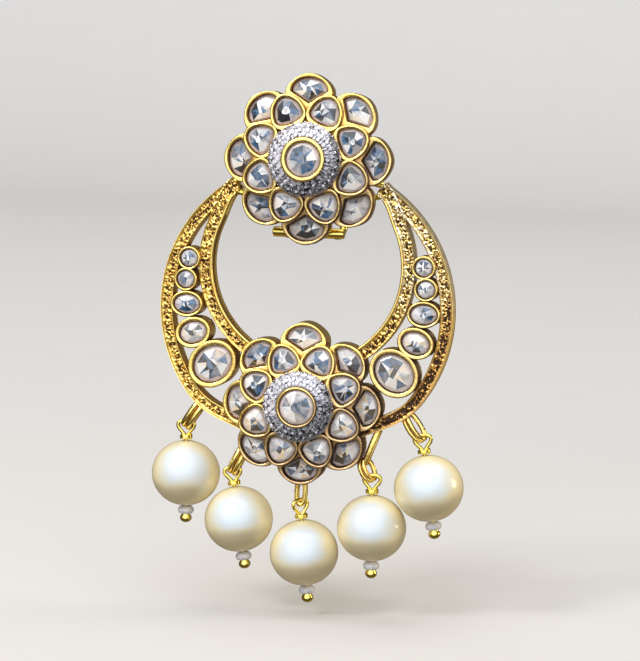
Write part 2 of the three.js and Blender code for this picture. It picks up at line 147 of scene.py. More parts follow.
class StoneColours(bpy.types.PropertyGroup):
    # The stones' facet colours are painted reflections.
    slate: colour("Slate", "The darkest facets", (0.018, 0.022, 0.030))
    blue: colour("Blue", "Facets that look blue", (0.05, 0.17, 0.36))
    grey: colour("Grey", "Facets between light and dark", (0.22, 0.24, 0.29))
    silver: colour("Silver", "Light grey facets", (0.55, 0.56, 0.61))
    blush: colour("Blush", "The pinkish edge of a stone", (0.86, 0.71, 0.64))
    white: colour("White", "The lightest facets", (1.0, 1.0, 1.0))
    amber: colour("Amber", "Gold seen through the lower stones", (1.0, 0.74, 0.42))
    sparkle: colour("Sparkle", "The small stones' light facets", (0.93, 0.91, 0.98))


class PearlColours(bpy.types.PropertyGroup):
    cream: colour("Cream", "The pearls' body colour", (0.96, 0.84, 0.52))
    # Nacre is a painted bluish highlight on the pearls' fronts, partly their overtone; olive is a painted
    # band of shade, and honey a painted warm light underneath.
    nacre: colour("Nacre", "The bluish overtone on the pearls' fronts", (0.80, 0.90, 1.0))
    olive: colour("Olive", "The dusky band below a pearl's middle", (0.50, 0.44, 0.28))
    honey: colour("Honey", "The pearls' underside", (0.98, 0.82, 0.48))
    seed_glass: colour("Seed glass", "The small beads", (0.92, 0.92, 0.94))
    seed_cloud: colour("Seed cloud", "Greyer clouds in the small beads", (0.72, 0.73, 0.78))


class StageLook(bpy.types.PropertyGroup):
    gap: length("Gap", "How far the floor lies under the lowest bead", 2.0)
    floor: colour("Floor", "The floor and the backdrop", (0.74, 0.73, 0.72))
    lens: FloatProperty(name="Lens", description="Focal length", default=116.6, unit="CAMERA", min=1.0)


MATERIALS = {}
SETTINGS = {
    "chandbali_flower": FlowerSizes,
    "chandbali_crescent": CrescentSizes,
    "chandbali_pearl": PearlSizes,
    "chandbali_metal": MetalColours,
    "chandbali_stone": StoneColours,
    "chandbali_nacre": PearlColours,
    "chandbali_stage": StageLook,
}


def settings(name):
    return getattr(bpy.context.scene, "chandbali_" + name)


# Where downhill, in millimetres from a piece's middle, the painted shade and tarnish start, where they are
# fullest, and how much.
TARNISH_AND_SHADE = {
    "stud": (-3, 9, 0.8), "drop": (-5, 5, 1.0), "stud_ring": (-3, 4, 0.8), "drop_ring": (-3, 4, 1.0),
    "strips": (4, 21, 0.8), "bezels": (-4, 22, 0.6),
}


# ---- holding and joining pieces ----
def put_down():
    """Leaves edit mode with nothing selected."""
    held = bpy.context.view_layer.objects.active
    if held and held.mode != "OBJECT":
        bpy.ops.object.mode_set(mode="OBJECT")
    bpy.ops.object.select_all(action="DESELECT")


def hold(*pieces):
    put_down()
    for piece in pieces:
        piece.select_set(True)
    bpy.context.view_layer.objects.active = pieces[0]


def added(name):
    """The piece that was just added to the bench, with its name."""
    piece = bpy.context.object
    piece.name = name
    return piece


def settle(piece):
    """Applies a piece's place, turn and size to its mesh."""
    hold(piece)
    bpy.ops.object.transform_apply(location=True, rotation=True, scale=True)
    return piece


def join(name, pieces):
    hold(*pieces)
    if len(pieces) > 1:
        bpy.ops.object.join()
    pieces[0].name = pieces[0].data.name = name
    return pieces[0]


def copied(piece, at=(0, 0, 0), turn=(0, 0, 0), size=1.0):
    """A copy with its own mesh, sized, turned and moved on the bench."""
    twin = piece.copy()
    twin.data = piece.data.copy()
    bpy.context.scene.collection.objects.link(twin)
    twin.location, twin.rotation_euler, twin.scale = at, turn, (size,) * 3
    return settle(twin)


def scrap(*pieces):
    for piece in pieces:
        bpy.data.objects.remove(piece)


def stand(piece, at, size=1.0):
    """Stands up a piece that was made lying face up on the bench, and sets it in the earring."""
    piece.location, piece.rotation_euler, piece.scale = at, (radians(90), 0, 0), (size,) * 3
    return settle(piece)


@contextmanager
def editing(piece, kind="EDGE", whole=False):
    """Edit mode on a piece, with nothing selected or the whole of it."""
    hold(piece)
    bpy.ops.object.mode_set(mode="EDIT")
    bpy.ops.mesh.select_mode(type=kind)
    bpy.ops.mesh.select_all(action="SELECT" if whole else "DESELECT")
    yield
    bpy.ops.object.mode_set(mode="OBJECT")


def pick(parts, test):
    """Selects the vertices, edges or faces that pass the test."""
    mesh = bmesh.from_edit_mesh(bpy.context.edit_object.data)
    bpy.ops.mesh.select_all(action="DESELECT")
    for part in getattr(mesh, parts):
        if test(part):
            part.select_set(True)
    mesh.select_flush_mode()
    bmesh.update_edit_mesh(bpy.context.edit_object.data)


def middle_of(part):
    points = [v.co for v in part.verts]
    return sum(points, Vector()) / len(points)


def extrude(*step):
    """Draws the selected edges out by a step in metres."""
    bpy.ops.mesh.extrude_edges_move(TRANSFORM_OT_translate={"value": step})


def face_outwards():
    bpy.ops.mesh.select_all(action="SELECT")
    bpy.ops.mesh.normals_make_consistent(inside=False)
    bpy.ops.mesh.select_all(action="DESELECT")


def seal(reach=0.001):
    """Merges points within reach, in millimetres, and turns all faces outwards."""
    bpy.ops.mesh.select_all(action="SELECT")
    bpy.ops.mesh.remove_doubles(threshold=reach * MM)
    face_outwards()


def bar(name, size, at, soft, turn=0.0, segments=2, ends=True):
    """A rounded bar on the bench, in millimetres. Without ends, only its edges along x are rounded."""
    bpy.ops.mesh.primitive_cube_add(size=1, location=(0, 0, 0))
    piece = added(name)
    piece.scale, piece.location = Vector(size) * MM, Vector(at) * MM
    piece.rotation_euler = (0, 0, turn)
    settle(piece)
    with editing(piece, whole=ends):
        if not ends:
            pick("edges", lambda e: abs(e.verts[0].co.x - e.verts[1].co.x) > size[0] / 2 * MM)
        bpy.ops.mesh.bevel(offset=soft * MM, segments=segments, affect="EDGES")
    return piece


def smooth(piece, angle=35):
    hold(piece)
    bpy.ops.object.shade_smooth_by_angle(angle=radians(angle))
    return piece


def finish_piece(piece, material, body, slot, *nodes):
    """Gives a piece its material, and says what it moves with and what it stands for. Its finish, the
    slot, is not used.
    """
    piece.data.materials.clear()
    piece.data.materials.append(MATERIALS[material])
    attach(piece, body)
    if nodes:
        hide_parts(*nodes)
    return piece


DOWNHILL = Vector((0.55, 0, -0.83))  # towards the lower right, the side painted darker, as shade with tarnish


def keep(piece, name, values, domain="POINT"):
    """Keeps a number for each point or face of a piece, for its material to read."""
    piece.data.attributes.new(name, "FLOAT", domain).data.foreach_set("value", values)
    return piece


def mark_points(piece, name, value_at):
    return keep(piece, name, [value_at(vertex) for vertex in piece.data.vertices])


def mark_rubbed_and_lit(piece):
    """Marks the tops of the walls and the back, which stay bright, on a piece that still lies face up. The
    walls' sides are left for painted shade and tarnish.
    """
    return mark_points(piece, "rubbed", lambda v: ease((abs(v.normal.z) - 0.55) / 0.4))


def neglect(piece, middle, kind):
    """Marks how far a piece's front is painted darker towards the lower right, as shade with tarnish. Its
    back, at the middle's depth, has none.
    """
    start, end, most = TARNISH_AND_SHADE[kind]

    def left(vertex):
        off = (vertex.co - Vector(middle)) / MM
        return most * ease((off.dot(DOWNHILL) - start) / (end - start)) * ease((-off.y - 0.2) / 1.3)

    return mark_points(piece, "neglect", left)


def ease(t):
    t = min(1.0, max(0.0, t))
    return t * t * (3 - 2 * t)


# ---- outlines ----
class Outline(NamedTuple):
    """A closed line, the same on both sides, in millimetres: where it is widest, its top and low point,
    and the handles that fill out its arch, tip, flank and foot. cheek and rise turn the lower ones in."""

    half: float
    wide: float
    top: float
    low: float
    arch: float
    tip: float
    flank: float
    foot: float
    cheek: float = 0.0
    rise: float = 0.0


def petal(base, base_half, wide, wide_half, tip, arch=0.62):
    flank = 0.5 * (wide - base)
    return Outline(wide_half, wide, tip, base, arch * (tip - wide), 0.42 * wide_half, flank, base_half)


def kite(point, wide, wide_half, tip):
    low_wide, cheek = wide - 0.35, wide_half / 3
    side, arch = (low_wide - point) / 3, 0.6 * (tip - wide) + 0.35
    return Outline(wide_half, low_wide, tip, point, arch, 0.5 * wide_half, side, cheek, cheek, side)


def oval(half_across, half_up):
    across, up = ROUND * half_across, ROUND * half_up
    return Outline(half_across, 0, half_up, -half_up, up, across, up, across)


class PetalRow(NamedTuple):
    """One of a flower's two rows: the collet's outside and opening, the stone, the line across which they
    lean, and how far the stone's girdle lies below the rim."""

    petal: Outline
    opening: Outline
    stone: Outline
    pivot: float
    sunk: float


PETAL_ROWS = {
    "back": PetalRow(
        petal=petal(4.4, 1.8, 9.0, 3.35, 11.75, 0.48),
        opening=kite(7.6, 9.55, 2.57, 11.2),
        stone=kite(7.75, 9.55, 2.45, 11.1),
        pivot=9.0 * MM,
        sunk=0.95 * MM,
    ),
    "front": PetalRow(
        petal=petal(4.4, 1.8, 6.25, 2.5, 9.4),
        opening=petal(5.18, 1.5, 6.2, 2.04, 8.97),
        stone=petal(5.3, 1.4, 6.2, 1.92, 8.85),
        pivot=6.9 * MM,
        sunk=0.72 * MM,
    ),
}
PETAL_STEPS = 8  # pieces to a quarter of a collet's outline
UNDER = 0.1 * MM  # how far a stone's foot reaches under its seat


def draw(name, line, steps, height, lean=0.0, pivot=0.0):
    """Draws an outline flat on the bench at a height, leaning about a line across it at pivot."""
    bpy.ops.curve.primitive_bezier_circle_add(radius=1.0, location=(0, 0, 0))
    piece = added(name)
    piece.data.resolution_u = steps
    for point, (x, y, before, after) in zip(piece.data.splines[0].bezier_points, (
        (-line.half, line.wide, (line.cheek, -line.flank), (0, line.arch)),
        (0, line.top, (-line.tip, 0), (line.tip, 0)),
        (line.half, line.wide, (0, line.arch), (-line.cheek, -line.flank)),
        (0, line.low, (line.foot, line.rise), (-line.foot, line.rise)),
    )):
        y -= pivot / MM
        point.handle_left_type = point.handle_right_type = "FREE"
        point.co = Vector((x, y, 0)) * MM
        point.handle_left = Vector((x + before[0], y + before[1], 0)) * MM
        point.handle_right = Vector((x + after[0], y + after[1], 0)) * MM
    bpy.ops.object.convert(target="MESH")
    piece.location, piece.rotation_euler = (0, pivot, height), (-lean, 0, 0)
    return settle(piece)


def turn_profile(name, points, steps):
    """Draws half a section, as (radius, height) points in millimetres, and spins it round the middle."""
    bpy.ops.mesh.primitive_plane_add(size=MM, location=(0, 0, 0))
    piece = added(name)
    with editing(piece, "VERT", whole=True):
        bpy.ops.mesh.merge(type="CENTER")
        at = Vector((0, 0, 0))
        for i, (radius, height) in enumerate(points):
            to = Vector((radius, 0, height)) * MM
            if i == 0:
                bpy.ops.transform.translate(value=to - at)
            else:
                bpy.ops.mesh.extrude_vertices_move(TRANSFORM_OT_translate={"value": to - at})
            at = to
        bpy.ops.mesh.select_all(action="SELECT")
        bpy.ops.mesh.spin(steps=steps, angle=tau, center=(0, 0, 0), axis=(0, 0, 1))
        seal(0.002)
    return piece


RIM_DIP = 0.05 * MM  # a rim's inner edge lies this much lower than its outer one


def collet(name, outside, opening, rim, floor, foot, lean=0.0, pivot=0.0):
    """A walled setting: its outside runs from foot to rim, and its opening goes down to a floor."""
    wall = draw(name, outside, PETAL_STEPS, rim, lean, pivot)
    with editing(wall, whole=True):
        extrude(0, 0, foot - rim)
        bpy.ops.transform.resize(value=(1, 1, 0), center_override=(0, pivot, foot))
        bpy.ops.mesh.edge_face_add()
    seat = draw(name + "_seat", opening, PETAL_STEPS, rim - RIM_DIP, lean, pivot)
    with editing(seat, whole=True):
        extrude(0, 0, floor - rim)
        bpy.ops.mesh.edge_face_add()
    wall = join(name, [wall, seat])
    with editing(wall):
        pick("edges", lambda e: e.is_boundary)
        bpy.ops.mesh.bridge_edge_loops()
        face_outwards()
        pick("edges", lambda e: rim_edge(e, floor, foot))
        rounding = settings("flower").rim_round
        bpy.ops.mesh.bevel(offset=rounding, segments=4, profile=0.5, affect="EDGES", clamp_overlap=True)
    return wall


def rim_edge(edge, floor, foot):
    """A sharp edge along the top of a wall."""
    if len(edge.link_faces) != 2 or edge.calc_face_angle(0) < radians(50):
        return False
    ups = sorted(face.normal.z for face in edge.link_faces)
    return ups[1] > 0.8 and ups[0] < 0.5 and middle_of(edge).z > max(floor, foot) + 0.2 * MM


# ---- cut stones ----
TONES = (0.0, 0.05, 0.12, 0.22, 0.3, 0.4, 0.52, 0.68, 0.88, 1.0)  # painted reflections, from dark slate to white
TOPS = (0.05, 0.2, 0.5, 0.9)  # the same for the small facets on top
GOLDS = (0.0, 0.1, 0.4, 1.0)  # how much of the gold below shows through a light facet
RUN_ON = 0.4  # how often a patch runs on over the next facet


def cut_stone(name, line, steps, foot, girdle, facets, lean=0.0, pivot=0.0, table=0.85, core=0.36):
    """A flat stone set over foil: a girdle, a crown, a ring of facets and a small top, turned a little.
    The points' layer is 0 up to the girdle, 1 at the crown and 2 round the top."""
    sizes = settings("flower")
    base = draw(name, line, steps, girdle, lean, pivot)
    with editing(base, whole=True):
        extrude(0, 0, foot - girdle)
        bpy.ops.mesh.edge_face_add()
    centre = (line.top + line.low) / 2
    shrunk = Outline(
        *(centre + table * (v - centre) if field in ("wide", "top", "low") else table * v
          for field, v in line._asdict().items())
    )
    top = draw(name + "_table", shrunk, facets, girdle + sizes.stone_crown, lean, pivot)
    middle = (0, centre * MM, girdle + sizes.stone_crown)
    with editing(top, whole=True):
        extrude(0, 0, sizes.stone_tip)
        bpy.ops.transform.resize(value=(core, core, 1), center_override=middle)
        bpy.ops.transform.rotate(value=radians(14), orient_axis="Z", center_override=middle)
        bpy.ops.mesh.edge_face_add()
        pick("faces", lambda f: len(f.verts) == 4)
        bpy.ops.mesh.quads_convert_to_tris(quad_method="BEAUTY", ngon_method="BEAUTY")
    around, total = 4 * facets, len(base.data.vertices) + len(top.data.vertices)
    crown, round_top = total - 2 * around, total - around
    stone = join(name, [base, top])
    with editing(stone):
        pick("edges", lambda e: e.is_boundary)
        bpy.ops.mesh.bridge_edge_loops()
        face_outwards()
    return mark_points(stone, "layer", lambda v: (v.index >= crown) + (v.index >= round_top))


def facet_the_light(stone, seed, warmth=0.0, shades=(0.0, 1.0), blush=1.0, tops=TOPS):
    """Gives every facet a tone that stands in for what it reflects, a painted reflection, in patches that
    may run over two facets, a blush below the crown, and the gold that shows through, by the stone's
    warmth."""
    dice = random.Random(seed)
    darkest, lightest = shades
    faces = sorted(stone.data.polygons, key=lambda f: sorted(f.vertices))  # the same order on every run
    layer = [point.value for point in stone.data.attributes["layer"].data]
    lowest = {face.index: min(layer[v] for v in face.vertices) for face in faces}
    inside = [face for face in faces if lowest[face.index] == 1]
    centre = sum((face.center for face in inside), Vector()) / len(inside)

    def around(face):
        return atan2(face.center.y - centre.y, face.center.x - centre.x)

    last, tone = dice.choice(TONES), {}
    for face in sorted(inside, key=lambda f: round(around(f), 4)):
        last = last if dice.random() < RUN_ON else dice.choice(TONES)
        shade = min(1.0, max(0.0, last + dice.uniform(-0.05, 0.05))) ** (1 - 0.4 * warmth)
        tone[face.index] = darkest + (lightest - darkest) * shade
    sectors = [dice.uniform(0.45, 0.95) for _ in range(6)]
    turn = dice.uniform(0, tau)
    values = {name: [0.0] * len(faces) for name in ("tone", "rim", "amber")}
    for face in faces:
        level = lowest[face.index]
        sector = int((around(face) + turn) % tau / tau * len(sectors))
        shade = dice.choice(tops) if level == 2 else tone.get(face.index, sectors[sector])
        gold = dice.choice(GOLDS) if shade > 0.35 and level else 0.15
        for name, value in (("tone", shade), ("rim", blush * (level == 0)), ("amber", warmth * gold)):
            values[name][face.index] = value
    for name, column in values.items():
        keep(stone, name, column, "FACE")
    return stone


def shift_top(stone, seed):
    """Moves and turns the small top, which is never quite the same on two stones."""
    dice = random.Random(seed)
    points = [v.co for v in stone.data.vertices]
    level = max(point.z for point in points) - 0.15 * MM
    tops = [point for point in points if point.z > level]
    middle = sum(tops, Vector()) / len(tops)
    with editing(stone, "VERT"):
        pick("verts", lambda v: v.co.z > level)
        off = (dice.uniform(-0.25, 0.25) * MM, dice.uniform(-0.25, 0.25) * MM, 0)
        bpy.ops.transform.translate(value=off)
        bpy.ops.transform.rotate(value=dice.uniform(-0.5, 0.5), orient_axis="Z", center_override=middle)


# ---- wires and strips ----
def cast(curve):
    """Makes a curve a closed mesh."""
    hold(curve)
    bpy.ops.object.convert(target="MESH")
    with editing(curve):
        seal()
    return curve


def wire(name, points, radius, closed=False, steps=8, sides=3):
    """A round wire bent smoothly through points."""
    bpy.ops.curve.primitive_bezier_curve_add(location=(0, 0, 0))
    piece = added(name)
    curve, line = piece.data, piece.data.splines[0]
    line.bezier_points.add(len(points) - len(line.bezier_points))
    for anchor, point in zip(line.bezier_points, points):
        anchor.co = point
        anchor.handle_left_type = anchor.handle_right_type = "AUTO"
    line.use_cyclic_u = closed
    curve.dimensions, curve.resolution_u, curve.use_fill_caps = "3D", steps, not closed
    curve.bevel_depth, curve.bevel_resolution = radius, sides
    return smooth(cast(piece), 50)


def poly_line(name, points, closed):
    bpy.ops.curve.primitive_bezier_curve_add(location=(0, 0, 0))
    piece = added(name)
    piece.data.splines.clear()
    line = piece.data.splines.new("POLY")
    line.points.add(len(points) - 1)
    for spot, (x, y) in zip(line.points, points):
        spot.co = (x, y, 0, 1)
    line.use_cyclic_u = closed
    piece.data.dimensions, piece.data.fill_mode = "2D", "NONE"
    return piece


def swept(name, path, section):
    """A bar of one section along a flat path, whose first number runs towards the path's right."""
    strip, die = poly_line(name, path, False), poly_line(name + "_section", section, True)
    strip.data.bevel_mode, strip.data.bevel_object, strip.data.use_fill_caps = "OBJECT", die, True
    cast(strip)
    scrap(die)
    return strip


# ---- the flowers ----
def petal_places(flower, kind):
    """Each petal's turn and size: near enough even, as when they are soldered by hand."""
    front = kind == "front"
    dice = random.Random(flower["seed"] + front)
    shift = PETAL_STEP / 2 if front else 0.0
    return [
        (k * PETAL_STEP + shift + radians(dice.uniform(-1.1, 1.1)), dice.uniform(0.985, 1.012))
        for k in range(PETALS)
    ]


def seat_and_rim(flower, kind):
    return (flower["lift"] + getattr(settings("flower"), f"{kind}_{level}") for level in ("floor", "rim"))


def flower_metal(flower):
    """The collets, drum and centre bezel of one flower, lying on the bench."""
    sizes, parts = settings("flower"), []
    for kind, row in PETAL_ROWS.items():
        floor, rim = seat_and_rim(flower, kind)
        foot = 0.0 if kind == "back" else flower["lift"] + sizes.back_floor
        model = collet(kind, row.petal, row.opening, rim, floor, foot, sizes.petal_lean, row.pivot)
        for turn, size in petal_places(flower, kind):
            parts.append(copied(model, turn=(0, 0, -turn), size=size))
        scrap(model)
    up, rim, floor = (level / MM for level in (flower["lift"], sizes.bezel_rim, sizes.bezel_floor))
    outer, inner = flower["bezel"]
    parts.append(turn_profile("drum", [(0, 0.3), (4.9, 0.3), (4.9, up + 3.75), (0, up + 3.75)], 48))
    bezel = [
        (0, floor), (inner - 0.01, floor), (inner, rim - 0.22), (inner + 0.07, rim - 0.08),
        (inner + 0.2, rim), (outer - 0.2, rim), (outer - 0.07, rim - 0.08), (outer, rim - 0.22),
        (outer, 3.7), (0, 3.7),
    ]
    parts.append(turn_profile("bezel", [(radius, up + height) for radius, height in bezel], 64))
    return mark_rubbed_and_lit(smooth(join("flower_metal", parts), 40))


def flower_stones(prefix, flower, body):
    lean, warmth = settings("flower").petal_lean, flower["warmth"]
    for kind, row in PETAL_ROWS.items():
        floor, rim = seat_and_rim(flower, kind)
        model = cut_stone(kind, row.stone, 6, floor - UNDER, rim - row.sunk, 2, lean, row.pivot)
        for k, (turn, size) in enumerate(petal_places(flower, kind)):
            stone = copied(model, turn=(0, 0, -turn), size=size)
            shift_top(stone, f"{kind}{k}")
            low = cos(turn) < 0.3
            facet_the_light(stone, f"{prefix}{kind}{k}", warmth * (1.0 if low else 0.25))
            stone.name = stone.data.name = f"{prefix}_{kind}_gem_{k + 1}"
            stand(stone, flower["at"], flower["size"])
            finish_piece(stone, "stone", body, "stone", f"{prefix}_{kind}_stone_{k + 1}")
        scrap(model)
    floor, rim = seat_and_rim(flower, "bezel")
    radius = flower["bezel"][1] - 0.05
    middle = cut_stone(
        f"{prefix}_centre_gem", oval(radius, radius), 8, floor - UNDER, rim - 0.45 * MM, 2,
        table=0.86, core=0.34,
    )
    facet_the_light(middle, prefix + "middle", 0.3 * warmth, (0.15, 1.0), tops=(0.0, 0.1, 0.3))
    stand(middle, flower["at"], flower["size"])
    finish_piece(middle, "stone", body, "stone", f"{prefix}_centre_stone")


def spot_at(radius, angle, height):
    """A spot on the bench, given in millimetres round its middle."""
    return Vector((radius * cos(angle), radius * sin(angle), height)) * MM


# Rows of small stones on the ring: radius, height, outward slope in degrees, and how many.
PAVE_ROWS = ((4.72, 4.56, 42, 28), (4.05, 4.92, 20, 24), (3.47, 5.08, 10, 20))
DOME = (
    (3.0, 3.9), (5.0, 3.9), (5.06, 4.1), (4.86, 4.38), (4.42, 4.72), (3.85, 4.94), (3.3, 5.04),
    (3.0, 5.05),
)
RING_TONES = (0.35, 0.6, 0.85, 1.0, 1.0, 1.0)
GEM_SEAT, GRAIN_SEAT = 0.06, 0.08  # how far the small stones and the grains stand off the dome
GRAIN_REACH = 0.36  # how far the grains lie inside and outside a row's middle
SCALLOPS = {"count": 36, "radius": 5.02, "height": 4.12, "size": 1.5}  # big grains along the ring's foot


def pave_ring(prefix, flower, body):
    """The domed ring round the centre: a scalloped setting, rows of small stones and their grains."""
    sizes, up = settings("flower"), flower["lift"] / MM
    parts = [turn_profile("dome", [(r, up + h) for r, h in DOME + DOME[:1]], 72)]
    bpy.ops.mesh.primitive_uv_sphere_add(segments=8, ring_count=5, radius=sizes.prong)
    grain = added("grain")
    wide = sizes.pave_stone
    bpy.ops.mesh.primitive_cone_add(vertices=8, radius1=wide, radius2=0.55 * wide, depth=0.5 * wide)
    gem, gems = added("gem"), []
    for row, (radius, height, slope, count) in enumerate(PAVE_ROWS):
        tilt = radians(slope)
        for i in range(count):
            angle = tau * (i + 0.5 * (row % 2)) / count
            gems.append(copied(gem, spot_at(radius, angle, up + height + GEM_SEAT), (0, tilt, angle)))
            for reach in (-GRAIN_REACH, GRAIN_REACH):
                rise = up + height - reach * sin(tilt) + GRAIN_SEAT
                at = spot_at(radius + reach * cos(tilt), angle + pi / count, rise)
                parts.append(copied(grain, at))
    for i in range(SCALLOPS["count"]):
        at = spot_at(SCALLOPS["radius"], tau * i / SCALLOPS["count"], up + SCALLOPS["height"])
        parts.append(copied(grain, at, size=SCALLOPS["size"]))
    scrap(grain, gem)
    setting = smooth(join(f"{prefix}_ring_setting", parts), 40)
    stones = join(f"{prefix}_ring_gems", gems)
    dice = random.Random(prefix + "ring")
    keep(stones, "tone", [dice.choice(RING_TONES) for _ in stones.data.polygons], "FACE")
    for piece in (setting, stones):
        neglect(stand(piece, flower["at"], flower["size"]), flower["at"], prefix + "_ring")
    finish_piece(setting, "rhodium", body, "rhodium", f"{prefix}_pave_ring")
    finish_piece(stones, "small_stone", body, "stone")


# ---- the stud's back ----
def turned_across(piece, at):
    """Lays a turned piece across the earring, at a place in millimetres."""
    piece.rotation_euler, piece.location = (0, radians(90), 0), Vector(at) * MM
    return settle(piece)


NECK_FOOT = -3.3  # how far forward the necks of the stud's eyes run
# The eyes for the horns' wires and for the clip's barrel, and what turns in them.
HINGE = {"x": 7.5, "y": -1.6, "z": -3.1, "outer": 0.97, "bore": 0.53, "width": 1.2, "wire": 0.42}
CLIP = {
    "x": 0, "y": -0.9, "z": -10.3, "outer": 1.39, "bore": 0.84, "width": 2.6,
    "half": 5.1, "radius": 0.72, "wire": 0.55,
}


def eye(name, sizes, side=1):
    """An eye across the earring on a neck that runs forward into the flower."""
    outer, bore, width = sizes["outer"], sizes["bore"], sizes["width"]
    half, soft = width / 2, 0.08
    section = [(outer - soft, -half), (outer, soft - half), (outer, half - soft), (outer - soft, half)]
    ring = turn_profile(name, [(bore, -half), *section, (bore, half), (bore, -half)], 40)
    front = NECK_FOOT - sizes["y"]
    long = -bore - front
    neck = bar(name + "_neck", (width, long, 2 * outer), (0, front + long / 2, 0), soft, ends=False)
    part = join(name, [turned_across(ring, (0, 0, 0)), neck])
    part.location = Vector((side * sizes["x"], sizes["y"], sizes["z"])) * MM
    return settle(part)


def stud_metal():
    flower = stand(flower_metal(STUD_FLOWER), STUD_FLOWER["at"])
    pad = turn_profile("pad", [(0, 0), (4.45, 0), (4.6, 0.12), (4.6, 3.4), (0, 3.4)], 64)
    parts = [flower, smooth(stand(pad, (0, 0, 0)))]
    parts += [eye("hinge_ring", HINGE, side) for side in SIDES.values()]
    parts.append(eye("clip_bracket", CLIP))
    return neglect(smooth(join("stud_flower_metal", parts), 40), STUD_FLOWER["at"], "stud")


# The clip's wire leaves the barrel downwards, turns back and runs up behind the ear to the middle of its
# top: half span, y and z.
CLIP_LEG = (
    (3.5, -0.5, -10.35), (3.5, 1.6, -10.75), (3.7, 3.8, -10.5), (4.0, 5.05, -8.6), (3.9, 5.15, -5),
    (3.7, 5.15, 0), (3.0, 5.15, 2.3), (0, 5.15, 3.5),
)


def ear_clip():
    reach, radius = CLIP["half"], CLIP["radius"]
    section = [(0, -reach), (radius - 0.25, -reach), (radius - 0.07, 0.08 - reach), (radius, 0.3 - reach)]
    section += [(r, -h) for r, h in reversed(section)]
    barrel = turned_across(smooth(turn_profile("barrel", section, 40)), (0, CLIP["y"], CLIP["z"]))
    left, right = ([Vector((side * x, y, z)) * MM for x, y, z in CLIP_LEG] for side in SIDES.values())
    loop = wire("loop", [*left, *right[-2::-1]], CLIP["wire"] * MM, steps=10, sides=4)
    return join("ear_clip_metal", [barrel, loop])


# ---- the crescent ----
OUTER = {"z": -21.0, "radius": 20.9, "end": 59.2}
INNER = {"z": -14.9, "radius": 13.4, "end": 47.8}


def outer_line(angle):
    """Radius of the outer strip's middle line, drawn in a little under the flower."""
    return OUTER["radius"] - 1.4 * ease((-38 - angle) / 26) - settings("crescent").outer_width / MM / 2


def inner_line(angle):
    """Radius of the inner strip's middle line, which flares at the horns."""
    return INNER["radius"] + 0.8 * ease((angle - 24) / 22) + settings("crescent").inner_width / MM / 2


def rail(circle, radius_at, pitch):
    """Points from the right horn round the bottom to the left horn, in metres on the bench."""
    sweep = 180 + 2 * circle["end"]
    count = int(radians(sweep) * circle["radius"] / pitch)
    points = []
    for angle in (circle["end"] - sweep * i / count for i in range(count + 1)):
        radius, turn = radius_at(angle if angle >= -90 else -180 - angle), radians(angle)
        points.append((radius * cos(turn) * MM, (circle["z"] + radius * sin(turn)) * MM))
    return points


GROOVE = {"top": 0.24, "low": 1.6, "depth": 0.45}  # cut along the inner wall, from the strip's top


def strip_section(width, edges, grooved, pitch):
    """A strip's section. edges are its smooth raised edges' widths, outer then inner; a groove may run
    along the inner wall."""
    top, half = settings("crescent").thickness / MM, width / 2
    outer, inner = edges
    side = top - 0.16
    swell = [(t, side + 0.22 * sin(pi * (0.15 + 0.7 * t))) for t in (0.1, 0.35, 0.6, 0.85)]
    points = [(-half, 0.0), (-half, 0.6), (-half, 1.2), (-half, 1.8), (-half, side)]
    points += [(outer * t - half, height) for t, height in swell]
    field = width - outer - inner
    count = int(field / pitch)
    for t in (i / count for i in range(count + 1)):
        points.append((-half + outer + field * t, top - 0.2 + 0.1 * sin(pi * t)))
    points += [(half - inner * t, height) for t, height in reversed(swell)]
    points.append((half, side))
    if grooved:
        wall, floor = half, half - GROOVE["depth"]
        high, low = top - GROOVE["top"], top - GROOVE["low"]
        points += [(wall, high), (floor, high - 0.1), (floor, low + 0.1)]
        points += [(wall - 0.12, low), (wall - 0.09, low)]
    points += [(half, 0.8), (half, 0.0)]
    return [(x * MM, y * MM) for x, y in points]


# The tools that roughen the strips, in turn: texture, size as a share of the grain, depth and options.
CHISELS = (
    ("DISTORTED_NOISE", 1.0, 1.0, {"noise_basis": "VORONOI_F2_F1", "noise_distortion": "IMPROVED_PERLIN",
                                   "distortion": 1.2}),
    ("CLOUDS", 0.5, 0.8, {"noise_depth": 2, "noise_type": "HARD_NOISE"}),
    ("DISTORTED_NOISE", 0.42, 0.5, {"noise_basis": "VORONOI_F1", "noise_distortion": "ORIGINAL_PERLIN",
                                    "distortion": 0.9}),
)


def across(x, y, circle, radius_at):
    """How far a spot lies inwards from a strip's middle line, in millimetres."""
    angle = degrees(atan2(y - circle["z"], x))
    angle = angle if -90 <= angle <= 90 else (180 - angle if angle > 0 else -180 - angle)
    return radius_at(angle) - hypot(x, y - circle["z"])


def sink(piece, other, depth):
    """Lowers a strip's face where the other strip covers it, at the horns."""
    circle, radius_at, width = other
    high = 0.75 * settings("crescent").thickness
    for vertex in piece.data.vertices:
        inwards = across(vertex.co.x / MM, vertex.co.y / MM, circle, radius_at)
        if vertex.co.z > high and abs(inwards) < width / 2:
            vertex.co.z -= depth * ease((width / 2 - abs(inwards)) / 0.5)


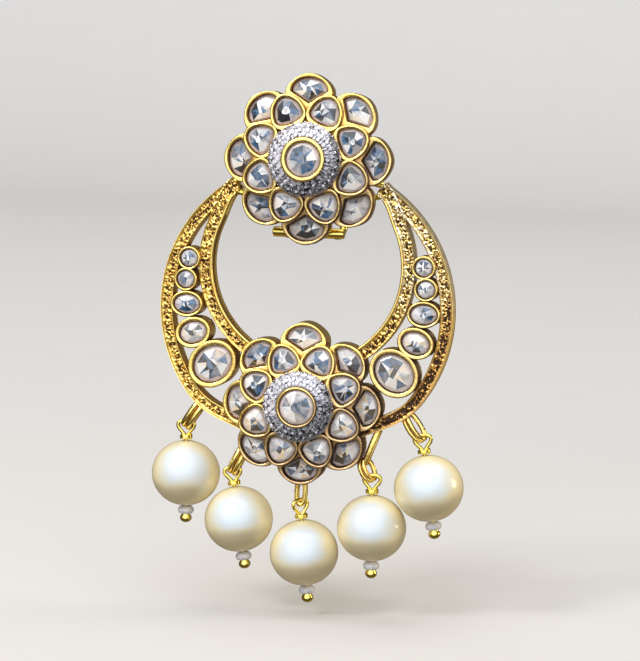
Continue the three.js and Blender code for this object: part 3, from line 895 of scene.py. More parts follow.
def textured(piece, circle, radius_at, width, edges, other):
    """Cuts the strip's face into rough lumps, and keeps how deep each place lies for its colour. The
    smooth edges stop where the other strip joins it."""
    sizes = settings("crescent")
    mesh = piece.data
    group = piece.vertex_groups.new(name="field")
    half, low = width / 2, sizes.thickness / MM - 0.3
    groove = []
    for vertex in mesh.vertices:
        x, y, height = vertex.co / MM
        inwards = across(x, y, circle, radius_at)
        inside = min(inwards + half - edges[0], half - edges[1] - inwards)
        inside = max(inside, other[2] / 2 + 0.1 - abs(across(x, y, other[0], other[1])))
        if height > low and inside > -0.02:
            group.add([vertex.index], min(1.0, 0.25 + inside / 0.2), "REPLACE")
        elif height > low - 1.7 and inwards < -half + 0.05:
            group.add([vertex.index], 0.25, "REPLACE")
        groove.append(float(0.5 < height < low - 0.1 and half - 0.9 < inwards < half - 0.11))
    before = [v.co.copy() for v in mesh.vertices]
    normals = [v.normal.copy() for v in mesh.vertices]
    for kind, size, depth, options in CHISELS:
        texture = bpy.data.textures.new(f"{piece.name}_{kind}", kind)
        texture.noise_scale = size * sizes.grain
        for option, value in options.items():
            setattr(texture, option, value)
        hold(piece)
        bpy.ops.object.modifier_add(type="DISPLACE")
        cutter = piece.modifiers[-1]
        cutter.texture, cutter.texture_coords = texture, "LOCAL"
        cutter.vertex_group, cutter.strength, cutter.mid_level = "field", depth * sizes.grain_depth, 0.5
        bpy.ops.object.modifier_apply(modifier=cutter.name)
    cut = [(v.co - b).dot(n) for v, b, n in zip(mesh.vertices, before, normals)]
    piece.vertex_groups.clear()
    worked = [depth for depth in cut if depth != 0]
    mean = sum(worked) / len(worked)
    spread = sqrt(sum((depth - mean) ** 2 for depth in worked) / len(worked))
    mark_points(piece, "relief", lambda v: (cut[v.index] - mean) / spread if cut[v.index] != 0 else 0.5)
    mark_points(piece, "worked", lambda v: float(cut[v.index] != 0))
    mark_points(piece, "groove", lambda v: groove[v.index])
    return piece


def crescent_strips():
    sizes = settings("crescent")
    edge, strips = sizes.edge / MM, []
    outer = (OUTER, outer_line, sizes.outer_width / MM)
    inner = (INNER, inner_line, sizes.inner_width / MM)
    for name, own, other, edges in (
        ("outer", outer, inner, (edge, 0.6 * edge)), ("inner", inner, outer, (0.5 * edge, 1.5 * edge))
    ):
        section = strip_section(own[2], edges, name == "inner", 0.1)
        strip = swept(name + "_strip", rail(*own[:2], 0.12), section)
        strips.append(smooth(textured(strip, *own, edges, other), 50))
    sink(strips[0], inner, 0.35 * MM)
    strips = stand(mark_rubbed_and_lit(join("crescent_strips", strips)), (0, CRESCENT_BACK, 0))
    neglect(strips, DROP_MIDDLE, "strips")
    # The strips turn pale towards the upper right horn.
    return mark_points(
        strips, "pale", lambda v: ease((v.co.x / MM - 4) / 8) * ease((v.co.z / MM + 24) / 8)
    )


# The side stones down each strip, from the top: x, z, length, width, tilt in degrees and wall.
SIDE_STONES = (
    (16.65, -14.4, 2.35, 2.35, 0, 0.36),
    (17.05, -17.4, 2.35, 2.35, 0, 0.36),
    (16.85, -20.85, 3.6, 2.65, 0, 0.42),
    (15.85, -24.85, 3.8, 3.0, -18, 0.58),
    (12.96, -29.15, 5.8, 4.8, -40, 0.68),
)
SIDE_SHADES = ((0.1, 1.0), (0.3, 1.0), (0.15, 0.7), (0.1, 1.0), (0.1, 1.0))  # darkest and lightest tones
SIDE_RIM, SIDE_FLOOR = 3.2, 1.7
BEZEL_ROOM, SEAT_ROOM = 0.12, 0.1  # round a stone, inside its bezel's wall and in its opening
BRIDGE = (5.2, 1.0, 1.2)  # the bars between the strips that carry the bezels
BRIDGE_HEIGHT, BRIDGE_SOFT = 0.65, 0.15
DROP_MIDDLE = (0, 0, -21 * MM)


def place_by_side(piece, side, x, z, tilt):
    """Sets a piece lying on the bench at one side's place, in millimetres, with its tilt in degrees."""
    piece.rotation_euler, piece.location = (0, 0, radians(side * tilt)), (side * x * MM, z * MM, 0)
    return settle(piece)


def side_bezels():
    parts = []
    for side in SIDES.values():
        for x, z, long, short, tilt, wall in SIDE_STONES:
            rooms = (BEZEL_ROOM + wall, SEAT_ROOM)
            outside, opening = (oval(long / 2 + room, short / 2 + room) for room in rooms)
            part = collet("bezel", outside, opening, SIDE_RIM * MM, SIDE_FLOOR * MM, 0.0)
            parts.append(place_by_side(part, side, x, z, tilt))
            turn = atan2(z - INNER["z"], side * x)
            parts.append(bar("bridge", BRIDGE, (side * x, z, BRIDGE_HEIGHT), BRIDGE_SOFT, turn))
    bezels = stand(mark_rubbed_and_lit(smooth(join("side_bezels", parts), 40)), (0, CRESCENT_BACK, 0))
    return neglect(bezels, DROP_MIDDLE, "bezels")


def side_gems():
    for name, side in SIDES.items():
        for i, (x, z, long, short, tilt, _) in enumerate(SIDE_STONES):
            foot, girdle = SIDE_FLOOR * MM - UNDER, (SIDE_RIM - (0.5 if i < 4 else 0.7)) * MM
            stone = cut_stone(f"{name}_gem_{i + 1}", oval(long / 2, short / 2), 6, foot, girdle, 2)
            place_by_side(stone, side, x, z, tilt)
            facet_the_light(stone, f"{name}{i}", 0.7 if i > 2 else 0.0, SIDE_SHADES[i], float(i > 1))
            stand(stone, (0, CRESCENT_BACK, 0))
            finish_piece(stone, "stone", DROP, "stone", f"{name}_stone_{i + 1}")


# ---- hanging the drop and the pearls ----
# The wire loop at the right horn's tip, from the strip through the stud's ring and back: x and z.
HORN_EYE = (
    (10.9, -3.5), (8.9, -3.1), (8.5, -3.1), (6.75, -3.1), (6.35, -3.1), (5.75, -3.7), (5.75, -4.5),
    (6.35, -5.1), (8.9, -5.1), (10.9, -4.7),
)


def horn_eyes():
    """The wire loops at the horns' tips that turn in the stud's two rings."""
    parts = []
    for side in SIDES.values():
        points = [Vector((side * x, HINGE["y"], z)) * MM for x, z in HORN_EYE]
        parts.append(wire("horn_eye", points, HINGE["wire"] * MM, steps=6, sides=4))
    return join("horn_eyes", parts)


# Pearls from left to right: x, z, lean and the eye's turn in degrees, and the link's root.
PEARLS = (
    (-16.9, -45.15, 1, 6, -14.9, -35.2),
    (-9.0, -51.3, 9, 6, -8.5, -41.4),
    (0.6, -55.45, 6, 45, 0, -45.3),
    (10.2, -51.3, 1, 6, 8.9, -42.0),
    (18.1, -45.15, 9, 6, 14.9, -35.2),
)
PEARL_Y = -1.18
EYE_TOP = 7.5  # from a pearl's middle to the middle of the wire at its eye's top
# Each pearl's link: its rings' turns from facing front and their shifts sideways, half width and wire.
LINKS = (
    (((80, -0.34), (92, 0.34)), 0.8, 0.42),
    (((80, -0.34), (92, 0.34)), 0.8, 0.42),
    (((0, 0.0),), 0.6, 0.37),
    (((24, -0.1), (62, 0.2)), 0.9, 0.35),
    (((24, -0.1), (62, 0.2)), 0.9, 0.35),
)
STRUT = {"top": (10.9, -37.2), "low": (8.9, -42.4), "wide": 1.0, "deep": 1.4, "soft": 0.35}


def pearl_links():
    """The rings that the pearls' eyes hang in, and the bar that carries the fourth one."""
    parts, eye_wire = [], settings("pearl").pin_wire / MM
    for (x, z, lean, _, root_x, root_z), (rings, half, radius) in zip(PEARLS, LINKS):
        tilt, rise = radians(lean), EYE_TOP - eye_wire - radius
        root = Vector((root_x, PEARL_Y, root_z))
        low = Vector((x - rise * sin(tilt), PEARL_Y, z + rise * cos(tilt)))
        along = (low - root).normalized()
        top = root - 0.3 * along
        long = (low - top).length / 2
        side = Vector((-along.z, 0, along.x))
        for turn, shift in rings:
            across = side * cos(radians(turn)) + Vector((0, sin(radians(turn)), 0))
            spots = [
                (top + low) / 2 + shift * side + long * cos(a) * along
                + half * copysign(abs(sin(a)) ** 0.7, sin(a)) * across
                for a in (tau * i / 16 for i in range(16))
            ]
            parts.append(wire("link", [spot * MM for spot in spots], radius * MM, closed=True, steps=3))
    start, end = (Vector((*STRUT[k], 0)) for k in ("top", "low"))
    off = end - start
    strut = bar(
        "strut", (STRUT["wide"], off.length, STRUT["deep"]), (start + end) / 2 + Vector((0, 0, 1.2)),
        STRUT["soft"], atan2(off.y, off.x) - pi / 2, segments=4,
    )
    parts.append(stand(smooth(strut), (0, CRESCENT_BACK, 0)))
    return mark_points(join("pearl_links", parts), "rubbed", lambda v: 1.0)


def hang(piece, spot):
    """Leans a piece made upright about its pearl's middle, and moves it there."""
    x, z, lean = spot[:3]
    piece.rotation_euler = (0, -radians(lean), 0)
    piece.location = Vector((x, PEARL_Y, z)) * MM
    return settle(piece)


FRONT_HIGHLIGHT = Vector((0.12, -0.92, 0.37))  # the side on which a pearl's painted bluish highlight lies


def pearl_bead(name):
    sizes = settings("pearl")
    radius, half, hole = sizes.radius / MM, sizes.half_height / MM, sizes.hole / MM
    start, steps = acos(hole / radius), 24
    angles = [start * (i / steps - 1) for i in range(2 * steps + 1)]
    section = [(radius * cos(a), half * sin(a)) for a in angles]
    top = section[-1]
    section += [(hole - 0.05, top[1] - 0.2), (hole - 0.05, 0.2 - top[1]), section[0]]
    bead = smooth(turn_profile(name, section, 64), 45)
    mark_points(bead, "overtone", lambda v: v.co.normalized().dot(FRONT_HIGHLIGHT))
    return mark_points(bead, "height", lambda v: v.co.z / sizes.half_height)


# Half of the eye's bent wire, from the neck up: out from the pin's line and above the pearl's middle.
EYE_BEND = ((0.14, 5.3), (0.62, 5.95), (1.1, 6.6), (1.1, 7.12), (0.56, 7.46))
# The ball end below the seed bead: radius and height under it.
BALL = (
    (0, 1.25), (0.3, 1.22), (0.58, 1.08), (0.8, 0.82), (0.85, 0.6), (0.8, 0.35), (0.62, 0.1), (0.62, 0),
)
COIL = {"turns": 2.2, "steps": 27, "radius": 0.68, "wire": 0.24, "start": 0.22, "rise": 0.42}
GAP = 0.1  # between a pearl and what is threaded next to it


def head_pin(name, turn):
    """Ball end, shank, a wrapped neck and the eye."""
    sizes = settings("pearl")
    shoulder = sizes.half_height / MM + GAP
    low = -shoulder - 1.15
    ball = [(radius, low - under) for radius, under in BALL]
    ball += [(0.3, low), (0.3, shoulder + 0.2), (0, shoulder + 0.2)]
    coil = [
        spot_at(COIL["radius"], t * COIL["turns"] * tau, shoulder + COIL["start"] + COIL["rise"] * t)
        for t in (i / COIL["steps"] for i in range(COIL["steps"] + 1))
    ]
    bend = [(0, 5.0), *EYE_BEND, (0, EYE_TOP), *((-x, z) for x, z in reversed(EYE_BEND))]
    parts = [smooth(turn_profile(name, ball, 28), 60), wire("coil", coil, COIL["wire"] * MM, steps=2)]
    ring = wire("eye", [Vector((x, 0, z)) * MM for x, z in bend], sizes.pin_wire, closed=True, steps=5)
    ring.rotation_euler = (0, 0, radians(turn))
    return join(name, [*parts, settle(ring)])


def seed_bead(name):
    sizes = settings("pearl")
    radius, top = sizes.seed / MM, -(sizes.half_height / MM + GAP)
    section = [
        (0.3, top - 0.02), (0.7, top), (0.98, top - 0.16), (radius, top - 0.5), (radius, top - 0.68),
        (0.98, top - 1.0), (0.7, top - 1.14), (0.3, top - 1.13), (0.3, top - 0.02),
    ]
    return smooth(turn_profile(name, section, 32), 60)


# ---- materials ----
def fit(tree, made, inputs):
    """Sets a node's sockets to values, or links them to the outputs given."""
    for socket, value in inputs.items():
        if isinstance(value, bpy.types.NodeSocket):
            tree.links.new(value, made.inputs[socket])
        else:
            made.inputs[socket].default_value = value
    return made


def node(tree, kind, inputs=None, **options):
    made = tree.nodes.new(kind)
    for option, value in options.items():
        setattr(made, option, value)
    return fit(tree, made, inputs or {})


def sums(tree, operation, a, b=0.0, c=0.0, clamp=False):
    made = node(tree, "ShaderNodeMath", {0: a, 1: b, 2: c}, operation=operation, use_clamp=clamp)
    return made.outputs[0]


def times(tree, a, b, clamp=False):
    return sums(tree, "MULTIPLY", a, b, clamp=clamp)


def scaled(tree, value, by, plus, clamp=False):
    return sums(tree, "MULTIPLY_ADD", value, by, plus, clamp)


def blend(tree, share, a, b):
    """A mix of two colours."""
    a, b = (v if isinstance(v, bpy.types.NodeSocket) else (*v, 1.0)[:4] for v in (a, b))
    return node(tree, "ShaderNodeMix", {0: share, 6: a, 7: b}, data_type="RGBA").outputs[2]


def between(tree, value, low, high, to_low=0.0, to_high=1.0):
    inputs = {"Value": value, "From Min": low, "From Max": high, "To Min": to_low, "To Max": to_high}
    return node(tree, "ShaderNodeMapRange", inputs, interpolation_type="SMOOTHSTEP").outputs["Result"]


def ramp(tree, share, stops):
    """Colours from (place, colour) stops, the lowest place first."""
    made = node(tree, "ShaderNodeValToRGB", {"Fac": share})
    points = made.color_ramp.elements
    points[0].position, points[1].position = stops[0][0], stops[-1][0]
    for place, _ in stops[1:-1]:
        points.new(place)
    for point, (_, shade) in zip(points, stops):
        point.color = (*shade, 1)
    return made.outputs["Color"]


def noise(tree, scale, detail=2.0, roughness=0.5, offset=(0, 0, 0)):
    spot = node(tree, "ShaderNodeTexCoord").outputs["Object"]
    if any(offset):
        spot = node(tree, "ShaderNodeMapping", {"Vector": spot, "Location": offset}).outputs["Vector"]
    inputs = {"Vector": spot, "Scale": scale, "Detail": detail, "Roughness": roughness}
    return node(tree, "ShaderNodeTexNoise", inputs).outputs["Fac"]


def mark(tree, name):
    return node(tree, "ShaderNodeAttribute", attribute_name=name).outputs["Fac"]


def bump(tree, height, strength, distance):
    inputs = {"Height": height, "Strength": strength, "Distance": distance}
    return node(tree, "ShaderNodeBump", inputs).outputs["Normal"]


def new_material(name):
    material = bpy.data.materials.new(name)
    material.use_nodes = True
    return material, material.node_tree, material.node_tree.nodes["Principled BSDF"]


def worn_and_shaded_metal_group():
    """Metal that is bright where it is rubbed and lit, and brown in hollows, on walls and towards the
    lower right: painted shade with patina and tarnish.
    """
    group = bpy.data.node_groups.new("Worn metal", "ShaderNodeTree")
    inputs = {
        "Bright": (1, 0.7, 0.26, 1), "Warm": (0.8, 0.4, 0.1, 1), "Dull": (0.7, 0.4, 0.2, 1),
        "Soil": (0.05, 0.02, 0.01, 1), "Soil amount": 1.0, "Soil reach": 0.0007, "Neglect": 0.0,
        "Rubbed": 1.0, "Polish": 0.2,
    }
    for name, value in inputs.items():
        kind = "NodeSocketFloat" if isinstance(value, float) else "NodeSocketColor"
        group.interface.new_socket(name=name, in_out="INPUT", socket_type=kind).default_value = value
    for name in ("Color", "Metallic", "Roughness", "Height"):
        kind = "NodeSocketColor" if name == "Color" else "NodeSocketFloat"
        group.interface.new_socket(name=name, in_out="OUTPUT", socket_type=kind)
    given = node(group, "NodeGroupInput").outputs
    tarnished_and_shaded, amount = given["Neglect"], given["Soil amount"]
    # Ambient occlusion paints shade into the hollows, along with dark patina.
    open_sky = node(group, "ShaderNodeAmbientOcclusion", {"Distance": given["Soil reach"]}, samples=8)
    mottle = noise(group, 900, 3.0)
    grit = noise(group, 5200, 2.0, 0.6)
    # Walls, which face sideways, get painted shade and tarnish; rubbed tops stay bright.
    walls = sums(group, "SUBTRACT", 1.0, given["Rubbed"])
    shelter = scaled(group, walls, -0.34, scaled(group, mottle, 0.35, open_sky.outputs["AO"]))
    hidden = scaled(group, tarnished_and_shaded, -0.42, shelter)
    patina_and_shade_share = times(group, amount, scaled(group, walls, scaled(group, tarnished_and_shaded, 0.35, 0.35), 0.35))
    soil = times(group, between(group, hidden, 0.95, 0.6), patina_and_shade_share, clamp=True)
    tone = between(group, noise(group, 380, 2.0, offset=(0.01, 0.02, 0.03)), 0.4, 0.75, 0.0, 0.45)
    metal = blend(group, tone, given["Bright"], given["Warm"])
    # Sheltered places and walls turn to warm gold: painted shade.
    metal = blend(group, between(group, shelter, 0.98, 0.66, 0.0, 0.85), metal, given["Warm"])
    # Dull gold towards the lower right: painted shade with tarnish.
    metal = blend(group, times(group, tarnished_and_shaded, 0.75), metal, given["Dull"])
    node(group, "NodeGroupOutput", {
        "Color": blend(group, soil, metal, given["Soil"]),
        "Metallic": scaled(group, soil, -0.55, 1.0),
        "Roughness": scaled(group, soil, 0.35, scaled(group, grit, 0.14, given["Polish"])),
        "Height": scaled(group, mottle, 0.7, times(group, grit, 0.3)),
    })
    return group


def worn_and_shaded_metal(name, group, reach, polish, depth, amount=1.0, walled=False, **shades):
    """A metal from the group: how far patina and painted shade reach into hollows and how deep it is
    pitted, in millimetres, its polish and the amount of patina and painted shade. The shades are its
    colours that aren't the usual gold's."""
    metal = settings("metal")
    usual = {"bright": metal.bright, "warm": metal.warm, "dull": metal.dull, "soil": metal.soil}
    material, tree, shader = new_material(name)
    group_node = node(tree, "ShaderNodeGroup", node_tree=group)
    fit(tree, group_node, {kind.capitalize(): (*shade, 1) for kind, shade in (usual | shades).items()})
    fit(tree, group_node, {"Soil amount": amount, "Soil reach": reach * MM, "Polish": polish})
    fit(tree, group_node, {"Neglect": mark(tree, "neglect")})
    if walled:
        fit(tree, group_node, {"Rubbed": mark(tree, "rubbed")})
    made = group_node.outputs
    fit(tree, shader, {
        "Base Color": made["Color"], "Metallic": made["Metallic"], "Roughness": made["Roughness"],
        "Normal": bump(tree, made["Height"], 0.5, depth * MM),
    })
    return material, tree, shader, made


def strip_gold(group):
    """Gold for the strips: bright on the lumps, dark brown in the pits and the groove, patina with painted
    shade, plain on the edges.
    """
    colours = settings("metal")
    material, tree, shader, made = worn_and_shaded_metal("Chiselled gold", group, 0.4, 0.24, 0.02, 0.8, walled=True)
    tarnished_and_shaded, worked, pale = (mark(tree, name) for name in ("neglect", "worked", "pale"))
    # Towards the lower right the strips get more pits and warmer gold: painted shade with tarnish.
    relief = scaled(tree, tarnished_and_shaded, -0.8, mark(tree, "relief"))
    pit = times(tree, between(tree, relief, -0.75, -1.2), worked)
    pit = sums(tree, "MAXIMUM", pit, times(tree, mark(tree, "groove"), 0.9))
    high = times(tree, between(tree, relief, -0.75, 0.0), worked)
    plate = blend(tree, pale, colours.bright, colours.pale)
    plate = blend(tree, times(tree, tarnished_and_shaded, 0.8), plate, colours.warm)
    gilt = times(tree, worked, scaled(tree, pale, -0.4, 0.6))
    low = blend(tree, gilt, made["Color"], colours.warm)
    fit(tree, shader, {
        "Base Color": blend(tree, high, blend(tree, pit, low, colours.soil), plate),
        "Metallic": times(tree, made["Metallic"], scaled(tree, pit, -0.25, 1.0)),
    })
    return material


def stone_glass():
    colours = settings("stone")
    material, tree, shader = new_material("Foil-backed stone")
    tone = scaled(tree, noise(tree, 1300), 0.6, sums(tree, "SUBTRACT", mark(tree, "tone"), 0.3))
    # The facet tones below are painted reflections.
    shade = ramp(tree, tone, (
        (0.08, colours.slate), (0.21, colours.blue), (0.32, colours.grey), (0.48, colours.silver),
        (0.78, colours.white),
    ))
    shade = blend(tree, times(tree, mark(tree, "amber"), 0.75), shade, colours.amber)
    shade = blend(tree, times(tree, mark(tree, "rim"), 0.7), shade, colours.blush)
    fit(tree, shader, {
        "Base Color": shade, "Roughness": 0.06, "IOR": 1.6, "Coat Weight": 0.5, "Coat Roughness": 0.02,
    })
    return material


def small_stone_glass():
    colours = settings("stone")
    material, tree, shader = new_material("Small bright stone")
    # The small stones' light and dark facets are painted glints and reflections.
    tone = scaled(tree, noise(tree, 2400, 1.0), 0.9, sums(tree, "SUBTRACT", mark(tree, "tone"), 0.48))
    # Darker towards the lower right of each ring: painted shade.
    tone = scaled(tree, mark(tree, "neglect"), -0.7, tone, clamp=True)
    fit(tree, shader, {
        "Base Color": blend(tree, tone, colours.slate, colours.sparkle),
        "Metallic": between(tree, tone, 0.1, 0.9, 0.6, 0.1),
        "Roughness": 0.08, "IOR": 1.7, "Coat Weight": 1.0,
    })
    return material


def pearl_coat():
    """Cream with a painted bluish highlight in front, partly its overtone, a painted band of shade below
    the middle and a painted warm light on the underside.
    """
    colours = settings("nacre")
    material, tree, shader = new_material("Pearl")
    rise = scaled(tree, noise(tree, 260), 0.3, mark(tree, "height"))
    # A painted bluish highlight on the front, partly the pearl's overtone.
    near = sums(tree, "ADD", mark(tree, "overtone"), scaled(tree, noise(tree, 420), 0.24, -0.12))
    over = times(tree, between(tree, near, 0.55, 1.0), between(tree, rise, -0.3, 0.14))
    # A painted band of shade below the middle.
    band = times(tree, between(tree, rise, 0.1, -0.3), between(tree, rise, -0.85, -0.45))
    band = times(tree, band, between(tree, near, -0.1, 0.5))
    shade = blend(tree, over, colours.cream, colours.nacre)
    # The underside turns honey: painted warm light from below.
    shade = blend(tree, between(tree, rise, -0.2, -0.9), shade, colours.honey)
    fit(tree, shader, {
        "Base Color": blend(tree, times(tree, band, 0.7), shade, colours.olive),
        "Roughness": between(tree, noise(tree, 700, 3.0), 0.3, 0.7, 0.3, 0.38),
        "Coat Weight": 1.0, "Coat Roughness": 0.16,
        "Normal": bump(tree, noise(tree, 900, 3.0), 0.12, 0.03 * MM),
    })
    return material


def seed_glass():
    colours = settings("nacre")
    material, tree, shader = new_material("Seed glass")
    cloud = between(tree, noise(tree, 900), 0.35, 0.7)
    fit(tree, shader, {
        "Base Color": blend(tree, cloud, colours.seed_glass, colours.seed_cloud),
        "Roughness": 0.12, "Transmission Weight": 0.12, "Coat Weight": 0.5,
    })
    return material


def floor_paper():
    material, tree, shader = new_material("Floor paper")
    pale = settings("stage").floor
    fit(tree, shader, {
        "Base Color": blend(tree, noise(tree, 40, 3.0), [0.97 * c for c in pale], pale),
        "Roughness": between(tree, noise(tree, 900), 0.3, 0.7, 0.75, 0.9),
    })
    return material


def make_materials():
    metal, group = settings("metal"), worn_and_shaded_metal_group()
    grey = [0.55 * c for c in metal.rhodium]
    brassy = {"bright": metal.wire, "warm": metal.bright}
    whitish = {"bright": metal.rhodium, "warm": grey, "dull": grey, "soil": metal.tarnish_and_gap_shade}
    MATERIALS.update(
        collet=worn_and_shaded_metal("Collet gold", group, 0.8, 0.04, 0.14, walled=True)[0],
        strip=strip_gold(group),
        wire=worn_and_shaded_metal("Wire gold", group, 0.35, 0.1, 0.04, 0.7, **brassy)[0],
        rhodium=worn_and_shaded_metal("Rhodium", group, 0.35, 0.1, 0.02, **whitish)[0],
        stone=stone_glass(), small_stone=small_stone_glass(), pearl=pearl_coat(), seed=seed_glass(),
        floor=floor_paper(),
    )


# ---- operators ----
class CHANDBALI_OT_materials(bpy.types.Operator):
    """Makes the gold, rhodium, stone, pearl and glass that the pieces use"""

    bl_idname = "chandbali.materials"
    bl_label = "Materials"

    def execute(self, context):
        make_materials()
        return {"FINISHED"}


class CHANDBALI_OT_stud(bpy.types.Operator):
    """Models the stud: its flower with ear pad, hinge rings and clip bracket, its ring and its stones"""

    bl_idname = "chandbali.stud"
    bl_label = "Stud flower"

    def execute(self, context):
        finish_piece(stud_metal(), "collet", STUD, "gold", "stud_flower_frame")
        pave_ring("stud", STUD_FLOWER, STUD)
        flower_stones("stud", STUD_FLOWER, STUD)
        return {"FINISHED"}


class CHANDBALI_OT_clip(bpy.types.Operator):
    """Models the clip behind the stud: a barrel with a bent wire loop"""

    bl_idname = "chandbali.clip"
    bl_label = "Ear clip"

    def execute(self, context):
        finish_piece(ear_clip(), "wire", STUD, "gold", "ear_clip")
        return {"FINISHED"}


class CHANDBALI_OT_crescent(bpy.types.Operator):
    """Models the crescent: two textured strips, the bezels and stones between them and the horns' eyes"""

    bl_idname = "chandbali.crescent"
    bl_label = "Crescent"

    def execute(self, context):
        finish_piece(crescent_strips(), "strip", DROP, "gold", "crescent_frame")
        finish_piece(side_bezels(), "collet", DROP, "gold")
        finish_piece(horn_eyes(), "wire", DROP, "gold")
        side_gems()
        return {"FINISHED"}


class CHANDBALI_OT_drop_flower(bpy.types.Operator):
    """Models the flower at the bottom of the crescent, its ring and its stones"""

    bl_idname = "chandbali.drop_flower"
    bl_label = "Drop flower"

    def execute(self, context):
        metal = stand(flower_metal(DROP_FLOWER), DROP_FLOWER["at"], DROP_FLOWER["size"])
        metal.name = metal.data.name = "drop_flower_metal"
        neglect(metal, DROP_FLOWER["at"], "drop")
        finish_piece(metal, "collet", DROP, "gold")
        pave_ring("drop", DROP_FLOWER, DROP)
        flower_stones("drop", DROP_FLOWER, DROP)
        return {"FINISHED"}


class CHANDBALI_OT_pearls(bpy.types.Operator):
    """Models the five pearls with their head pins, seed beads and the links that they hang in"""

    bl_idname = "chandbali.pearls"
    bl_label = "Pearls"

    def execute(self, context):
        finish_piece(pearl_links(), "collet", DROP, "gold")
        for i, spot in enumerate(PEARLS, 1):
            pearl = hang(pearl_bead(f"pearl_bead_{i}"), spot)
            finish_piece(pearl, "pearl", DROP, "pearl", f"pearl_{i}")
            pin = hang(head_pin(f"head_pin_{i}", spot[3]), spot)
            finish_piece(pin, "wire", DROP, "gold", f"pearl_pin_{i}")
            seed = hang(seed_bead(f"seed_bead_{i}"), spot)
            finish_piece(seed, "seed", DROP, "stone")
        return {"FINISHED"}


def light(name, kind, at, aim, watts, shade, **shape):
    lamp = bpy.data.lights.new(name, kind)
    for field, value in {"energy": watts, "color": shade, **shape}.items():
        setattr(lamp, field, value)
    holder = bpy.data.objects.new(name, lamp)
    bpy.context.scene.collection.objects.link(holder)
    holder.location = at
    holder.rotation_euler = (Vector(aim) - Vector(at)).to_track_quat("-Z", "Y").to_euler()


SOFTBOX = (0.0, -0.83, 0.56)  # the way to the middle of the big soft light in front
# How bright the room is from straight behind the earring, 0, to the middle of the soft light, 1.
ROOM = (
    (0.0, (0.24, 0.21, 0.17)), (0.35, (0.09, 0.07, 0.04)), (0.66, (0.10, 0.08, 0.06)),
    (0.80, (0.36, 0.34, 0.31)), (0.88, (1.45, 1.48, 1.52)), (1.0, (2.4, 2.52, 2.75)),
)
FILL = (0.44, 0.40, 0.34)  # even light that matt surfaces get more of


def studio_world():
    """Pale where it is seen, and a soft bright quarter in a dim room where it is reflected."""
    world = bpy.data.worlds.new("Studio")
    bpy.context.scene.world = world
    world.use_nodes = True
    tree = world.node_tree
    spot = node(tree, "ShaderNodeTexCoord").outputs["Generated"]
    toward = node(tree, "ShaderNodeVectorMath", {0: spot, 1: SOFTBOX}, operation="DOT_PRODUCT")
    room = ramp(tree, scaled(tree, toward.outputs["Value"], 0.5, 0.5), ROOM)
    path = node(tree, "ShaderNodeLightPath").outputs
    room = blend(tree, times(tree, path["Is Diffuse Ray"], 0.6), room, FILL)
    seen = [0.95 * c for c in settings("stage").floor]
    fit(tree, tree.nodes["Background"], {"Color": blend(tree, path["Is Camera Ray"], room, seen)})


CAMERA = {
    "azimuth": 12.0, "elevation": 6.0, "roll": 1.58, "target": (1.78, 0.0, -24.0), "distance": 300.0,
}


def place_camera():
    turn, lift, roll = (radians(CAMERA[k]) for k in ("azimuth", "elevation", "roll"))
    back = Vector((sin(turn) * cos(lift), -cos(turn) * cos(lift), sin(lift)))
    level = Vector((0, 0, 1)).cross(back).normalized()
    upright = back.cross(level)
    right = cos(roll) * level + sin(roll) * upright
    up = cos(roll) * upright - sin(roll) * level
    data = bpy.data.cameras.new("View")
    data.lens, data.sensor_width = settings("stage").lens, 36.0
    data.clip_start, data.clip_end = 0.01, 20.0
    camera = bpy.data.objects.new("View", data)
    bpy.context.scene.collection.objects.link(camera)
    turned = Matrix((right, up, back)).transposed().to_4x4()
    turned.translation = (Vector(CAMERA["target"]) + CAMERA["distance"] * back) * MM
    camera.matrix_world = turned
    bpy.context.scene.camera = camera


# The floor, which curves up into the backdrop in a few steps.
SWEEP = {"size": 20.0, "back": 1.2, "steps": 8, "step": 0.12, "wall": 2.5}


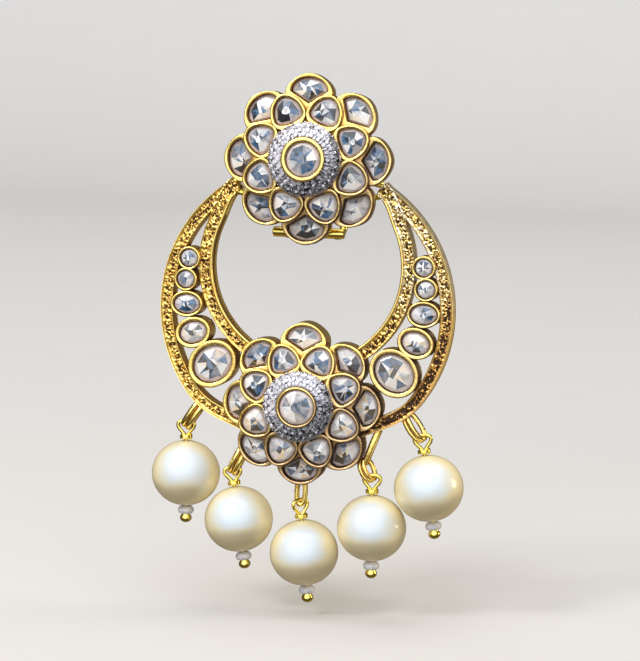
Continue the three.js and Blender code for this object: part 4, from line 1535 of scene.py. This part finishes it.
class CHANDBALI_OT_stage(bpy.types.Operator):
    """Sets the pale floor and backdrop, the soft lights and the camera"""

    bl_idname = "chandbali.stage"
    bl_label = "Stage"

    def execute(self, context):
        low = CAD_BOX[0][2] - settings("stage").gap
        size, back = SWEEP["size"], SWEEP["back"]
        bpy.ops.mesh.primitive_plane_add(size=size, location=(0, back - size / 2, low))
        floor = added("floor")
        with editing(floor):
            pick("edges", lambda e: middle_of(e).y > 1.0)
            for i in range(SWEEP["steps"]):
                angle = radians(90) * (i + 0.5) / SWEEP["steps"]
                extrude(0, cos(angle) * SWEEP["step"], sin(angle) * SWEEP["step"])
            extrude(0, 0, SWEEP["wall"])
        settle(smooth(floor, 60))
        floor.data.materials.append(MATERIALS["floor"])
        floor.visible_glossy = floor.visible_diffuse = False
        middle = (0.0, 0.0, -0.03)
        light("key", "AREA", (-0.28, -0.34, 0.30), middle, 0.9, (1.0, 0.98, 0.95), size=0.13)
        light("rim", "SPOT", (0.38, 0.10, 0.04), middle, 2.0, (1.0, 0.82, 0.52),
              spot_size=radians(40), spot_blend=1.0, shadow_soft_size=0.07)
        light("top", "AREA", (0.0, 0.2, 1.2), (0.0, 1.0, 0.0), 7.0, (1.0, 0.99, 0.98), size=1.2)
        studio_world()
        place_camera()
        context.scene.view_settings.view_transform = "Standard"
        return {"FINISHED"}


OPERATORS = (
    CHANDBALI_OT_materials,
    CHANDBALI_OT_stud,
    CHANDBALI_OT_clip,
    CHANDBALI_OT_crescent,
    CHANDBALI_OT_drop_flower,
    CHANDBALI_OT_pearls,
    CHANDBALI_OT_stage,
)


class CHANDBALI_PT_panel(bpy.types.Panel):
    """The earring's sizes and colours, and a button for each piece"""

    bl_idname = "CHANDBALI_PT_panel"
    bl_label = "Chandbali earring"
    bl_space_type = "VIEW_3D"
    bl_region_type = "UI"
    bl_category = "Chandbali"

    def draw(self, context):
        for name, kind in SETTINGS.items():
            box = self.layout.box()
            for prop in kind.__annotations__:
                box.prop(getattr(context.scene, name), prop)
        for operator in OPERATORS:
            self.layout.operator(operator.bl_idname)


def register():
    for kind in (*SETTINGS.values(), *OPERATORS, CHANDBALI_PT_panel):
        bpy.utils.register_class(kind)
    for name, kind in SETTINGS.items():
        setattr(bpy.types.Scene, name, PointerProperty(type=kind))


def unregister():
    for name in SETTINGS:
        delattr(bpy.types.Scene, name)
    for kind in (CHANDBALI_PT_panel, *reversed(OPERATORS), *reversed(SETTINGS.values())):
        bpy.utils.unregister_class(kind)


def main():
    register()
    bpy.ops.chandbali.materials()
    bpy.ops.chandbali.stud()
    bpy.ops.chandbali.clip()
    bpy.ops.chandbali.crescent()
    bpy.ops.chandbali.drop_flower()
    bpy.ops.chandbali.pearls()
    bpy.ops.chandbali.stage()


if __name__ == "__main__":
    main()
